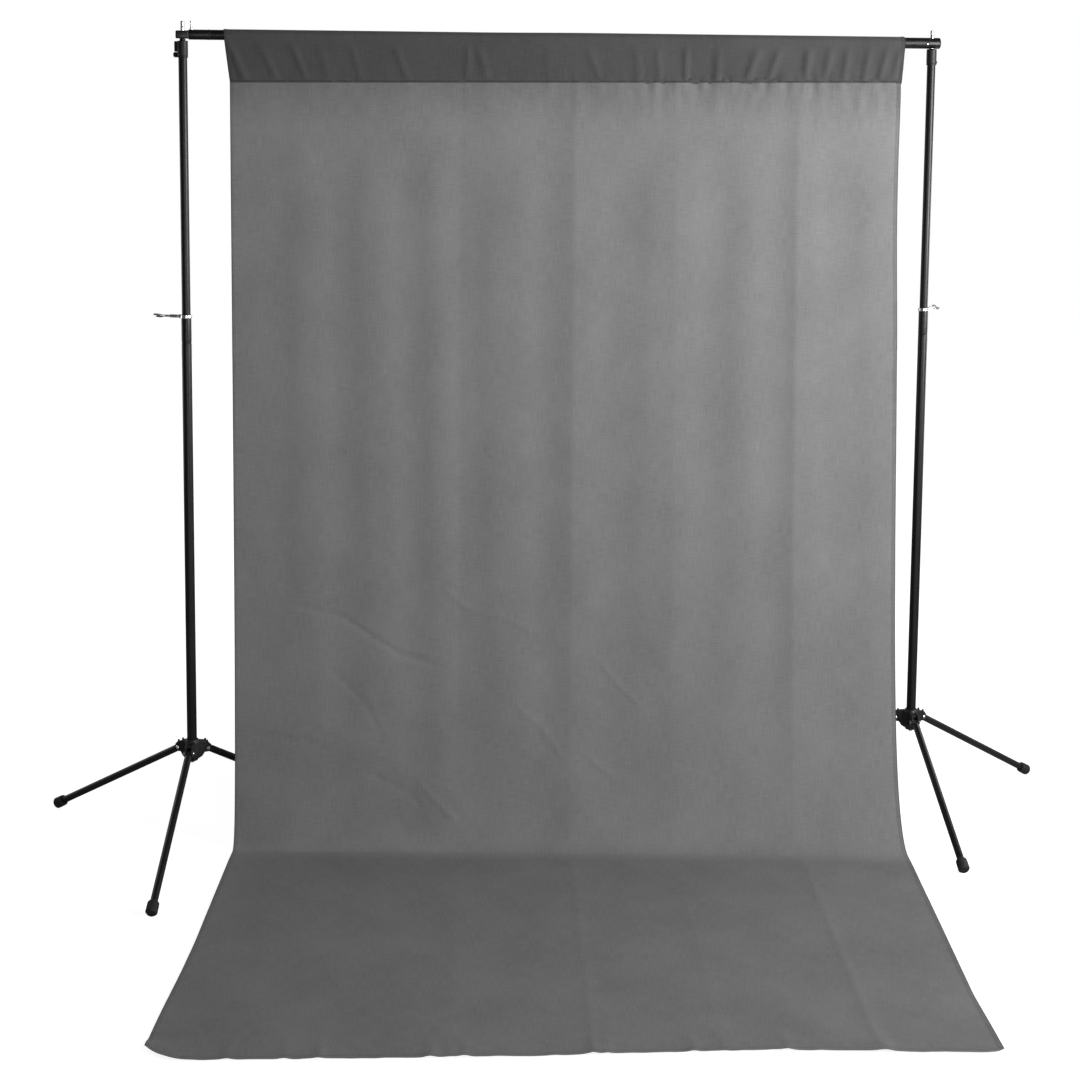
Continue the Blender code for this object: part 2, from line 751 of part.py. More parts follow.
def add_cloth(grid, name, closed=False, shift=0.0, offset=1.0):
    """A solid of cloth's thickness on a grid of points. shift moves it forward."""
    sheet = add(surface(grid, closed), name, GREY_CLOTH, root, (0, -shift, 0))
    solidify = sheet.modifiers.new("thickness", "SOLIDIFY")
    solidify.thickness = CLOTH_THICKNESS
    solidify.offset = offset
    solidify.use_even_offset = True
    return sheet


def build_backdrop():
    """The cloth in four pieces: its rod pocket, two hanging pieces that overlap, and the sweep."""
    across = threads(10)
    upper = [HEM_Z - 0.0015 + (UPPER_BOTTOM_Z - HEM_Z) * i / 8 for i in range(8)]
    upper.append(UPPER_BOTTOM_Z + GAP)
    add_cloth([[cloth_point(x, z) for x in across] for z in upper], "backdrop_upper")
    lower = [UPPER_BOTTOM_Z - GAP + (LOWER_BOTTOM_Z - UPPER_BOTTOM_Z) * i / 5 for i in range(5)]
    lower.append(LOWER_BOTTOM_Z + GAP)
    add_cloth([[cloth_point(x, z) for x in across] for z in lower], "backdrop_lower", shift=LAP)
    bend = [(LOWER_BOTTOM_Z - GAP) * (1 - i / 9) ** 2 for i in range(9)]
    rows = [[cloth_point(x, z) for x in across] for z in bend]
    rows += [[floor_point(x, i / 6) for x in across] for i in range(7)]
    add_cloth(rows, "backdrop_sweep", shift=LAP)
    rod_pocket()


def rod_pocket():
    """The loop of cloth round the bar, a little wider at the bar than at its hem."""
    front = [(HEM_Y - 0.0006, HEM_Z), (HEM_Y * 0.9, (HEM_Z + BAR_Z) / 2)]
    over = arc((0, BAR_Z), POCKET_RADIUS, 180, 0, 8)
    back = [((HEM_Y + POCKET_RADIUS) / 2, (HEM_Z + BAR_Z) / 2), (HEM_Y + 0.003, HEM_Z)]
    rows = []
    for y, z in front + over + back:
        rise = (z - HEM_Z) / (BAR_Z - HEM_Z)
        left = CLOTH_CENTRE_X - CLOTH_WIDTH / 2 - POCKET_FLARE["left"] * rise
        right = CLOTH_CENTRE_X + CLOTH_WIDTH / 2 + POCKET_FLARE["right"] * rise
        rows.append([(left + (right - left) * j / 4, y, z) for j in range(5)])
    add_cloth(rows, "rod_pocket", closed=True, offset=0.0)


clear_scene()
model = new_collection(COLLECTION)
cutters = new_collection(CUTTERS)
root = empty(COLLECTION + "_origin", None, (-FOOTPRINT_CENTRE[0], -FOOTPRINT_CENTRE[1], 0))
below_floor = add_cutter(box((-2, -2, -0.5), (2, 2, 0)), "below_floor", root)
for each_side in SIDE:
    build_stand(each_side)
build_crossbar()
build_backdrop()
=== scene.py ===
"""The looks of a portable background support: two folding stands, a telescopic bar and a hung cloth.

Lengths are in metres. Places are given from the point on the floor midway between the two columns,
with X along the bar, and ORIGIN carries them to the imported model's own frame.
"""

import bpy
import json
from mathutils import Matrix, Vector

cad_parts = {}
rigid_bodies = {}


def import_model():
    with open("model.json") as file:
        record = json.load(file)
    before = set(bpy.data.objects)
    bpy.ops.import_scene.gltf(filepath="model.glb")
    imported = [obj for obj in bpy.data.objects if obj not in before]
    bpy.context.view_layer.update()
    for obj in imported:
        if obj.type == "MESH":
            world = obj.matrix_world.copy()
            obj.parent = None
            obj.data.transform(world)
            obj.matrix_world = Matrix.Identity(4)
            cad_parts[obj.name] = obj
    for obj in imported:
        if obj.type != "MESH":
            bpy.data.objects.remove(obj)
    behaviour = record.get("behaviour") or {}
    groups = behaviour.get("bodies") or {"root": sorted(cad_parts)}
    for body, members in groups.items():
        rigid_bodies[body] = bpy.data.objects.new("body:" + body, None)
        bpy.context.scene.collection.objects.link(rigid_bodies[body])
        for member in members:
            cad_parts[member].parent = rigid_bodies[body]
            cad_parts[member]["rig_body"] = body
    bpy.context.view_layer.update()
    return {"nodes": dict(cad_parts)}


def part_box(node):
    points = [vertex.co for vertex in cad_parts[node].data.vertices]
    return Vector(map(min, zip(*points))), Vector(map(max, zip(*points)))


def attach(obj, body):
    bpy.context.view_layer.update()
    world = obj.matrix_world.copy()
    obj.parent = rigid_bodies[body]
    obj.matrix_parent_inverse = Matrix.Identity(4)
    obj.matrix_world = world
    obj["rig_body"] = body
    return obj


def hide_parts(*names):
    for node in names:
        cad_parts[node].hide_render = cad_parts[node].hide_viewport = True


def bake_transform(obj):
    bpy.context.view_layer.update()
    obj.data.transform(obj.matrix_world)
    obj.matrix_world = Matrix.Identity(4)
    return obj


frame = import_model()

import json
import math

import bmesh
import bpy
import numpy as np
from mathutils import Matrix, Vector

SIDES = {"left": -1, "right": 1}
LEGS = ("front", "outer", "inner")
SEAM = 0.0003  # left between touching hard pieces
ROUND = 48  # segments of a tube
SMALL_ROUND = 28


def middle(node):
    low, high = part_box(node)
    return (low + high) / 2


COLUMNS = {side: middle(f"{side}_lower_tube") for side in SIDES}
ORIGIN = (COLUMNS["left"] + COLUMNS["right"]) / 2
ORIGIN.z = 0
COLUMN_X = (COLUMNS["right"].x - COLUMNS["left"].x) / 2


# ---------------------------------------------------------------- camera, light and floor


def look_along(yaw, pitch, roll):
    """A camera's turning matrix: yaw turns it right of +Y, pitch tips it down, roll turns it clockwise."""
    forward = Vector((math.sin(yaw) * math.cos(pitch), math.cos(yaw) * math.cos(pitch), -math.sin(pitch)))
    level = Vector((math.cos(yaw), -math.sin(yaw), 0))
    upright = level.cross(forward)
    right = level * math.cos(roll) + upright * math.sin(roll)
    up = upright * math.cos(roll) - level * math.sin(roll)
    return Matrix((right, up, -forward)).transposed().to_4x4()


def add_camera():
    data = bpy.data.cameras.new("camera")
    data.sensor_width = 36
    data.lens = 68.963
    data.shift_y = -0.1759
    camera = bpy.data.objects.new("camera", data)
    bpy.context.scene.collection.objects.link(camera)
    place = ORIGIN + Vector((-0.8110, -4.6060, 1.7140))
    camera.matrix_world = Matrix.Translation(place) @ look_along(0.162, 0.126, 0.008)
    bpy.context.scene.camera = camera


def add_softbox(name, place, target, size, power):
    data = bpy.data.lights.new(name, "AREA")
    data.shape = "SQUARE"
    data.size = size
    data.energy = power
    light = bpy.data.objects.new(name, data)
    bpy.context.scene.collection.objects.link(light)
    light.location = ORIGIN + Vector(place)
    light.rotation_euler = (Vector(target) - Vector(place)).to_track_quat("-Z", "Y").to_euler()


def add_world():
    """A pale room: brightest behind the object, dimmer above and in front, and white where it is seen."""
    world = bpy.data.worlds.new("room")
    bpy.context.scene.world = world
    world.use_nodes = True
    nodes, links = world.node_tree.nodes, world.node_tree.links
    background = nodes["Background"]
    direction = nodes.new("ShaderNodeTexCoord")
    parts = nodes.new("ShaderNodeSeparateXYZ")
    links.new(direction.outputs["Generated"], parts.inputs["Vector"])
    shares = []
    for axis, start, end, low, high in (("Y", -0.1, 0.6, 0.13, 0.60), ("Z", 0.15, 0.60, 1.0, 0.35)):
        share = nodes.new("ShaderNodeMapRange")
        share.interpolation_type = "SMOOTHSTEP"
        for socket, value in zip(("From Min", "From Max", "To Min", "To Max"), (start, end, low, high)):
            share.inputs[socket].default_value = value
        links.new(parts.outputs[axis], share.inputs["Value"])
        shares.append(share)
    room = nodes.new("ShaderNodeMath")
    room.operation = "MULTIPLY"
    for share, socket in zip(shares, room.inputs):
        links.new(share.outputs["Result"], socket)
    seen = nodes.new("ShaderNodeLightPath")
    strength = nodes.new("ShaderNodeMath")
    strength.operation = "MAXIMUM"
    links.new(room.outputs["Value"], strength.inputs[0])
    links.new(seen.outputs["Is Camera Ray"], strength.inputs[1])
    background.inputs["Color"].default_value = (1, 1, 1, 1)
    links.new(strength.outputs["Value"], background.inputs["Strength"])


def add_floor():
    """White all round, and plain pale near the object, where its soft shadows fall."""
    half = 9.0
    corners = [(-half, -half, 0), (half, -half, 0), (half, half, 0), (-half, half, 0)]
    mesh = bpy.data.meshes.new("floor")
    mesh.from_pydata(corners, [], [(0, 1, 2, 3)])
    floor = bpy.data.objects.new("floor", mesh)
    bpy.context.scene.collection.objects.link(floor)
    floor.location.z = -0.0002
    m = Nodes("pale_floor")
    m.plain(Base_Color=(0.34, 0.34, 0.34, 1), Roughness=0.9, Specular_IOR_Level=0.1)
    m.plain(Emission_Color=(1, 1, 1, 1))
    away = m.add("ShaderNodeVectorMath", operation="LENGTH")
    m.wire(m.places(), away.inputs[0])
    glow = m.spread(away.outputs["Value"], 0.90, 1.05, 1.2, 2.2)
    seen = m.add("ShaderNodeLightPath").outputs["Is Camera Ray"]
    m.wire(m.sum(glow, seen, "MULTIPLY"), m.shader.inputs["Emission Strength"])
    mesh.materials.append(m.material)


# ---------------------------------------------------------------- materials


class Nodes:
    """A material and a short way to wire its nodes."""

    def __init__(self, name):
        self.material = bpy.data.materials.new(name)
        self.material.use_nodes = True
        self.tree = self.material.node_tree
        self.shader = self.tree.nodes["Principled BSDF"]

    def add(self, kind, **settings):
        node = self.tree.nodes.new(kind)
        for key, value in settings.items():
            setattr(node, key, value)
        return node

    def wire(self, source, target):
        self.tree.links.new(source, target)
        return target.node

    def plain(self, **values):
        for key, value in values.items():
            self.shader.inputs[key.replace("_", " ")].default_value = value

    def places(self, stretch=(1, 1, 1), source=None):
        """Object coordinates, or the given vector, with each axis scaled."""
        scale = self.add("ShaderNodeMapping")
        scale.inputs["Scale"].default_value = stretch
        if source is None:
            source = self.add("ShaderNodeTexCoord").outputs["Object"]
        self.wire(source, scale.inputs["Vector"])
        return scale.outputs["Vector"]

    def noise(self, scale, detail=3.0, rough=0.5, vector=None):
        node = self.add("ShaderNodeTexNoise")
        node.inputs["Scale"].default_value = scale
        node.inputs["Detail"].default_value = detail
        node.inputs["Roughness"].default_value = rough
        self.wire(vector or self.places(), node.inputs["Vector"])
        return node.outputs["Fac"]

    def spread(self, value, low, high, start=0.3, end=0.7):
        """value's range from start to end, spread over low to high."""
        node = self.add("ShaderNodeMapRange")
        for socket, number in (("From Min", start), ("From Max", end), ("To Min", low), ("To Max", high)):
            node.inputs[socket].default_value = number
        self.wire(value, node.inputs["Value"])
        return node.outputs["Result"]

    def sum(self, a, b, operation="ADD"):
        node = self.add("ShaderNodeMath", operation=operation)
        for socket, value in zip(node.inputs, (a, b)):
            if isinstance(value, (int, float)):
                socket.default_value = value
            else:
                self.wire(value, socket)
        return node.outputs["Value"]

    def colours(self, value, stops):
        node = self.add("ShaderNodeValToRGB")
        ramp = node.color_ramp
        ramp.elements[0].position, ramp.elements[1].position = stops[0][0], stops[-1][0]
        for position, _ in stops[1:-1]:
            ramp.elements.new(position)
        for element, (_, colour) in zip(ramp.elements, stops):
            element.color = (*colour, 1)
        self.wire(value, node.inputs["Fac"])
        self.wire(node.outputs["Color"], self.shader.inputs["Base Color"])

    def bump(self, height, strength, distance):
        node = self.add("ShaderNodeBump")
        node.inputs["Strength"].default_value = strength
        node.inputs["Distance"].default_value = distance
        self.wire(height, node.inputs["Height"])
        self.wire(node.outputs["Normal"], self.shader.inputs["Normal"])


def grey(value, warmth=0.0):
    return (value * (1 + warmth), value, value * (1 - warmth))


def paint_material():
    """Satin black enamel on steel tube: a faint orange peel, handling marks and paler rubbed spots."""
    m = Nodes("satin_black_paint")
    rubbed = m.noise(9.0, 6.0, 0.62, m.places((1, 1, 0.35)))
    m.colours(rubbed, [(0.0, grey(0.0035)), (0.55, grey(0.0050)), (0.78, grey(0.008)), (1.0, grey(0.016))])
    handled = m.noise(34.0, 4.0, 0.6, m.places((1, 1, 0.12)))
    m.wire(m.spread(handled, 0.34, 0.46), m.shader.inputs["Roughness"])
    m.plain(Metallic=0.0, Specular_IOR_Level=0.32)
    peel = m.noise(620.0, 2.0, 0.5)
    m.bump(peel, 0.10, 0.0002)
    return m.material


def plastic_material():
    """Moulded black plastic: a fine spark-eroded grain."""
    m = Nodes("moulded_black_plastic")
    flow = m.noise(22.0, 4.0, 0.6)
    m.colours(flow, [(0.25, grey(0.0055)), (0.75, grey(0.0095))])
    m.wire(m.spread(m.noise(160.0, 3.0, 0.6), 0.42, 0.60), m.shader.inputs["Roughness"])
    m.plain(Metallic=0.0, Specular_IOR_Level=0.34)
    m.bump(m.noise(1500.0, 3.0, 0.7), 0.22, 0.00015)
    return m.material


def rubber_material():
    """Rubber foot caps: matt, with dust that has settled in patches."""
    m = Nodes("dusty_black_rubber")
    dust = m.noise(60.0, 7.0, 0.7)
    m.colours(dust, [(0.3, grey(0.0085)), (0.6, grey(0.012)), (0.9, grey(0.034, 0.04))])
    m.wire(m.spread(dust, 0.62, 0.88), m.shader.inputs["Roughness"])
    m.plain(Metallic=0.0, Specular_IOR_Level=0.4)
    m.bump(m.noise(900.0, 4.0, 0.7), 0.35, 0.0002)
    return m.material


def chrome_material():
    """Bright plated steel: slight haze and fine polishing marks."""
    m = Nodes("bright_plating")
    haze = m.noise(45.0, 5.0, 0.6)
    m.colours(haze, [(0.3, (0.72, 0.73, 0.75)), (0.7, (0.84, 0.85, 0.86))])
    m.wire(m.spread(m.noise(260.0, 4.0, 0.6), 0.18, 0.32), m.shader.inputs["Roughness"])
    m.plain(Metallic=1.0)
    m.bump(m.noise(900.0, 2.0, 0.5, m.places((1, 1, 6))), 0.06, 0.0001)
    return m.material


def cloth_material(name, depth):
    """Plain woven grey cloth, with painted shade along its hem, side hems and side edges, just below the hem
    and over the part on the floor. depth is its grey's reflectance: the pocket's darker copy is painted
    shade for the light that its two layers let through less.
    """
    m = Nodes(name)
    at = m.add("ShaderNodeAttribute", attribute_name="cloth_at").outputs["Vector"]
    weft = m.noise(1.0, 3.0, 0.6, m.places((34, 620, 1), at))
    warp = m.noise(1.0, 3.0, 0.6, m.places((560, 26, 1), at))
    cloudy = m.noise(1.0, 4.0, 0.55, m.places((7, 5, 1), at))
    threads = m.sum(m.sum(weft, warp), 0.5, "MULTIPLY")
    tone = m.sum(m.sum(threads, 0.75, "MULTIPLY"), m.sum(cloudy, 0.25, "MULTIPLY"))
    parts = m.add("ShaderNodeSeparateXYZ")
    m.wire(at, parts.inputs["Vector"])
    edge = m.sum(parts.outputs["X"], 0.0, "ABSOLUTE")
    # Painted shade over each side hem, where the cloth lies double and lets less light through from behind.
    side_hem_shade = m.spread(edge, 0.0, -0.10, CLOTH_WIDTH / 2 - SIDE_HEM - 0.001, CLOTH_WIDTH / 2 - SIDE_HEM)
    # Painted shade: a dark line just inside each side edge.
    outline = m.spread(edge, 0.0, -0.30, CLOTH_WIDTH / 2 - 0.0026, CLOTH_WIDTH / 2 - 0.0014)
    length = parts.outputs["Y"]
    # Painted shade: a dark line along the hem.
    seam = m.spread(m.sum(length, 0.0, "ABSOLUTE"), -0.60, 0.0, 0.0010, 0.0028)
    # Painted shade just below the hem, darkest at the hem and gone 10 cm down.
    under_hem_shade = m.spread(length, -0.16, 0.0, 0.0, 0.10)
    # Painted shade over the cloth on the floor from just past where it meets it, with painted light easing
    # it a little towards the front edge.
    painted_floor_shading = m.sum(m.spread(length, 0.0, -0.20, 1.755, 1.80), m.spread(length, 0.0, 0.05, 1.84, 2.6))
    for change in (side_hem_shade, outline, seam, under_hem_shade, painted_floor_shading):
        tone = m.sum(tone, change)
    m.colours(tone, [(0.10, grey(0.42 * depth)), (0.5, grey(depth)), (0.75, grey(1.36 * depth))])
    m.plain(Metallic=0.0, Specular_IOR_Level=0.25, Sheen_Weight=0.12, Sheen_Roughness=0.5)
    m.wire(m.spread(threads, 0.84, 0.96), m.shader.inputs["Roughness"])
    ribs = m.add("ShaderNodeTexWave", wave_type="BANDS", bands_direction="X")
    ribs.inputs["Scale"].default_value = 1.0
    m.wire(m.places((300, 1, 1), at), ribs.inputs["Vector"])
    picks = m.add("ShaderNodeTexWave", wave_type="BANDS", bands_direction="Y")
    picks.inputs["Scale"].default_value = 1.0
    m.wire(m.places((1, 260, 1), at), picks.inputs["Vector"])
    weave = m.sum(ribs.outputs["Fac"], picks.outputs["Fac"], "MULTIPLY")
    m.bump(m.sum(m.sum(weave, 0.35, "MULTIPLY"), threads), 0.45, 0.0004)
    return m.material


# ---------------------------------------------------------------- shapes


def turned(profile, segments=ROUND, flutes=0, flute_depth=0.0):
    """Vertices and faces of a profile of (radius, z) turned about Z, down its outer side. It starts and
    ends on the axis, or else it is a closed loop. Flutes cut into every point off the axis."""
    vertices, faces, rings = [], [], []
    for radius, z in profile:
        if radius == 0:
            rings.append([len(vertices)] * segments)
            vertices.append((0, 0, z))
            continue
        rings.append(list(range(len(vertices), len(vertices) + segments)))
        for i in range(segments):
            angle = 2 * math.pi * i / segments
            r = radius - flute_depth * (0.5 - 0.5 * math.cos(flutes * angle))
            vertices.append((r * math.cos(angle), r * math.sin(angle), z))
    pairs = list(zip(rings, rings[1:]))
    if profile[0][0]:
        pairs.append((rings[-1], rings[0]))
    for upper, lower in pairs:
        for i in range(segments):
            j = (i + 1) % segments
            corners = list(dict.fromkeys((upper[i], lower[i], lower[j], upper[j])))
            if len(corners) > 2:
                faces.append(corners)
    return vertices, faces


def soften(profile, radius, steps=3):
    """The profile with its corners rounded. Points on the axis stay."""
    count = len(profile)
    loop = profile[0][0] != 0
    out = []
    for i, (r, z) in enumerate(profile):
        if not loop and i in (0, count - 1):
            out.append((r, z))
            continue
        here = Vector((r, z))
        before = Vector(profile[i - 1]) - here
        after = Vector(profile[(i + 1) % count]) - here
        if before.angle(after) > math.radians(165):
            out.append((r, z))
            continue
        start = here + before.normalized() * min(radius, before.length * 0.42)
        end = here + after.normalized() * min(radius, after.length * 0.42)
        for k in range(steps + 1):
            t = k / steps
            point = start * (1 - t) ** 2 + here * 2 * t * (1 - t) + end * t * t
            out.append((point.x, point.y))
    return out


def tube(radii, low, high):
    outer, inner = radii
    return [(outer, high), (outer, low), (inner, low), (inner, high)]


def rod(radius, low, high):
    return [(0, high), (radius, high), (radius, low), (0, low)]


def arc(centre, radius, start_deg, end_deg, steps):
    points = []
    for i in range(steps + 1):
        angle = math.radians(start_deg + (end_deg - start_deg) * i / steps)
        points.append((centre[0] + radius * math.cos(angle), centre[1] + radius * math.sin(angle)))
    return points


def bevelled(shape, bevel, segments=3):
    """A bmesh's edges that are sharper than 30 degrees, rounded."""
    bmesh.ops.recalc_face_normals(shape, faces=shape.faces)
    sharp = [e for e in shape.edges if len(e.link_faces) == 2 and e.calc_face_angle() > math.radians(30)]
    bmesh.ops.bevel(shape, geom=sharp, offset=bevel, segments=segments, profile=0.5, affect="EDGES")


def lists_of(shape):
    """Vertices and faces of a bmesh, which is freed."""
    shape.verts.index_update()
    made = ([tuple(v.co) for v in shape.verts], [[v.index for v in f.verts] for f in shape.faces])
    shape.free()
    return made


def plate(outline, thickness, bevel):
    """A flat outline in X and Y, given half its thickness to each side along Z, its edges rounded."""
    shape = bmesh.new()
    face = shape.faces.new([shape.verts.new((x, y, -thickness / 2)) for x, y in outline])
    raised = bmesh.ops.extrude_face_region(shape, geom=[face])["geom"]
    moved = [v for v in raised if isinstance(v, bmesh.types.BMVert)]
    bmesh.ops.translate(shape, verts=moved, vec=(0, 0, thickness))
    bevelled(shape, bevel)
    return lists_of(shape)


def block(low, high, bevel):
    low, high = Vector(low), Vector(high)
    shape = bmesh.new()
    bmesh.ops.create_cube(shape, size=1.0)
    bmesh.ops.scale(shape, vec=high - low, verts=shape.verts)
    bmesh.ops.translate(shape, vec=(high + low) / 2, verts=shape.verts)
    bevelled(shape, bevel)
    return lists_of(shape)


def moved(shape, matrix):
    vertices, faces = shape
    return [tuple(matrix @ Vector(v)) for v in vertices], faces


def joined(*shapes):
    """Several shapes in one, each still its own shell."""
    vertices, faces = [], []
    for more, polygons in shapes:
        start = len(vertices)
        vertices.extend(more)
        faces.extend([[i + start for i in polygon] for polygon in polygons])
    return vertices, faces


def loose_object(name, shape):
    mesh = bpy.data.meshes.new(name)
    mesh.from_pydata(shape[0], [], shape[1])
    obj = bpy.data.objects.new(name, mesh)
    bpy.context.scene.collection.objects.link(obj)
    return obj


def carved(base, added=(), removed=()):
    """One closed shape: base with the added shapes joined to it and the removed ones cut away."""
    obj = loose_object("carving", base)
    tools = []
    for operation, shapes in (("UNION", added), ("DIFFERENCE", removed)):
        for shape in shapes:
            tool = loose_object("tool", shape)
            tools.append(tool)
            modifier = obj.modifiers.new("carve", "BOOLEAN")
            modifier.operation = operation
            modifier.object = tool
            modifier.solver = "EXACT"
    depsgraph = bpy.context.evaluated_depsgraph_get()
    mesh = bpy.data.meshes.new_from_object(obj.evaluated_get(depsgraph))
    made = ([tuple(v.co) for v in mesh.vertices], [list(p.vertices) for p in mesh.polygons])
    for used in (obj, *tools):
        bpy.data.objects.remove(used)
    bpy.data.meshes.remove(mesh)
    return made


def above_floor(shape):
    """The part of a closed shape above the floor, closed again where it stands."""
    obj = bmesh.new()
    vertices = [obj.verts.new(v) for v in shape[0]]
    for face in shape[1]:
        obj.faces.new([vertices[i] for i in face])
    everything = [*obj.verts, *obj.edges, *obj.faces]
    plane = {"plane_co": (0, 0, 0), "plane_no": (0, 0, -1)}
    cut = bmesh.ops.bisect_plane(obj, geom=everything, clear_outer=True, **plane)
    rim = [e for e in cut["geom_cut"] if isinstance(e, bmesh.types.BMEdge)]
    bmesh.ops.edgeloop_fill(obj, edges=rim)
    return lists_of(obj)


# ---------------------------------------------------------------- pieces


FINISHES = {}


def show(node, shape, finish, matrix=None, sharp_deg=32):
    """The visible piece for a CAD node: it rides on the node's body and takes the node's place."""
    piece = loose_object(f"{node}_look", shape)
    mesh = piece.data
    if matrix is not None:
        mesh.transform(matrix)
    mesh.materials.append(FINISHES[finish])
    mesh.shade_smooth()
    mesh.set_sharp_from_angle(angle=math.radians(sharp_deg))
    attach(piece, frame["nodes"][node]["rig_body"])
    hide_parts(node)
    return piece


def spin(axis, degrees):
    return Matrix.Rotation(math.radians(degrees), 4, axis)


TO_X = spin("Y", 90)  # turns a shape's own Z to X
TO_Y = spin("X", -90)  # turns a shape's own Z to Y
STAND_UP = spin("X", 90)  # turns a plate's own Y to Z

BAR_Z = 1.823
COLLAR = (1.773, 1.8095)
KNOB_Z = 1.7795
KNOB_RADIUS = 0.0060
RING_Z = 1.2075
RING_HALF = 0.0038
CRIMP_Z = 1.1485
HUB = (0.1955, 0.2455)
PIVOT_Z = 0.2215
PIVOT_RADIUS = 0.035
FOOT_CIRCLE = 0.423
FOOT_CENTRE_Z = 0.013
FOOT_RADIUS = 0.0130
FOOT_LENGTH = 0.030
LEG_TUBE_START = 0.0110
LOWER_TUBE = (0.0110, 0.0100)
MIDDLE_TUBE = (0.0095, 0.0085)
TOP_ROD = (0.0080, 0.0068)
LEG_TUBE = (0.0080, 0.0067)
LEFT_BAR = (0.0110, 0.0095)
RIGHT_BAR = (0.0125, 0.0114)
FRONT_LEG_DEG = {"left": 258.6, "right": 267.3}
SCREW_DEG = {"left": 156.0, "right": 45.0}
LEG_SLOPE = math.atan2(PIVOT_Z - FOOT_CENTRE_Z, FOOT_CIRCLE - PIVOT_RADIUS)
FOOT_END = (PIVOT_Z + 0.0008 - FOOT_RADIUS * math.cos(LEG_SLOPE)) / math.sin(LEG_SLOPE) + 0.004


def stand_at(side):
    return Matrix.Translation((COLUMNS[side].x, COLUMNS[side].y, 0))


def hub_shape(front_deg):
    """The casting at the foot of the column, with a fork and two top nubs for each leg."""
    barrel = [(0, HUB[1]), (0.0135, HUB[1]), (0.0168, 0.2390)]
    barrel += [(0.0168, 0.2070), (0.0125, HUB[0]), (0, HUB[0])]
    outline = [(0.010, 0.2420), (0.024, 0.2385), (0.031, 0.2375), (0.037, 0.2345), (0.0430, 0.2280)]
    outline = list(reversed(outline)) + [(0.010, 0.1985), (0.021, 0.2040), (0.027, PIVOT_Z - 0.0090)]
    outline += arc((PIVOT_RADIUS, PIVOT_Z), 0.0090, -90, 20, 14)
    lugs = []
    for k in range(3):
        turn = spin("Z", front_deg + 120 * k)
        for way in (-1, 1):
            cheek = plate(outline, 0.0037, 0.0007)
            shift = Matrix.Translation((0, way * 0.00715, 0))
            lugs.append(moved(cheek, turn @ shift @ STAND_UP))
            nub = turned(soften(rod(0.0022, 0.2340, 0.2398), 0.0008), 20)
            lugs.append(moved(nub, turn @ Matrix.Translation((0.0335, way * 0.00715, 0))))
        web = block((0.012, -0.0060, 0.2300), (0.030, 0.0060, 0.2368), 0.0008)
        lugs.append(moved(web, turn))
    bore = turned(rod(LOWER_TUBE[0] + SEAM, HUB[0] + 0.0045, HUB[1] + 0.01))
    drain = turned(rod(0.0034, HUB[0] - 0.01, HUB[0] + 0.01), SMALL_ROUND)
    return carved(turned(soften(barrel, 0.0012)), lugs, [bore, drain])


def show_column(side):
    stand = stand_at(side)
    show(f"{side}_hub", hub_shape(FRONT_LEG_DEG[side]), "black_plastic", stand)
    low = HUB[0] - SEAM
    screw = [(0, 0.2220), (0.0029, 0.2220), (0.0029, low), (0.0048, low), (0.0048, 0.1918), (0.0038, 0.1905)]
    screw += [(0.0016, 0.1905), (0.0014, 0.1925), (0, 0.1925)]
    show(f"{side}_column_screw", turned(soften(screw, 0.0004), SMALL_ROUND), "chrome", stand)
    outer, inner = LOWER_TUBE
    foot = HUB[0] + 0.0045 + SEAM
    top = RING_Z + RING_HALF - 0.0008
    lower = [
        (outer, top),
        (outer, CRIMP_Z + 0.0022),
        (outer - 0.0006, CRIMP_Z + 0.0009),
        (outer - 0.0006, CRIMP_Z - 0.0009),
        (outer, CRIMP_Z - 0.0022),
        (outer, foot),
        (0.0034, foot),
        (0.0034, foot + 0.012),
        (inner, foot + 0.012),
        (inner, top),
    ]
    show(f"{side}_lower_tube", turned(soften(lower, 0.0005)), "black_paint", stand)
    low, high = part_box(f"{side}_middle_tube")
    middle_tube = turned(soften(tube(MIDDLE_TUBE, low.z, high.z), 0.0004))
    show(f"{side}_middle_tube", middle_tube, "black_paint", stand)
    low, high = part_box(f"{side}_top_rod")
    neck, shoulder = 0.0065, COLLAR[1] - 0.0015
    top_rod = [
        (0, 1.790),
        (0.0034, 1.790),
        (0.0034, high.z),
        (neck, high.z),
        (neck, shoulder),
        (TOP_ROD[0], shoulder - 0.0012),
        (TOP_ROD[0], low.z),
        (TOP_ROD[1], low.z),
        (TOP_ROD[1], 1.775),
        (0, 1.775),
    ]
    show(f"{side}_top_rod", turned(soften(top_rod, 0.0004)), "black_paint", stand)
    low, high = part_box(f"{side}_stud")
    seat = BAR_Z - (0.0085 if side == "left" else RIGHT_BAR[0])
    stud = [
        (0, high.z - 0.0012),
        (0.0012, high.z - 0.0008),
        (0.0017, high.z),
        (0.0035, high.z),
        (0.0043, high.z - 0.0010),
        (0.0043, 1.8425),
        (0.0032, 1.8414),
        (0.0032, 1.8406),
        (0.0043, 1.8395),
        (0.0043, seat),
        (0.0030, seat),
        (0.0030, low.z),
        (0, low.z),
    ]
    show(f"{side}_stud", turned(soften(stud, 0.0005), SMALL_ROUND), "chrome", stand)


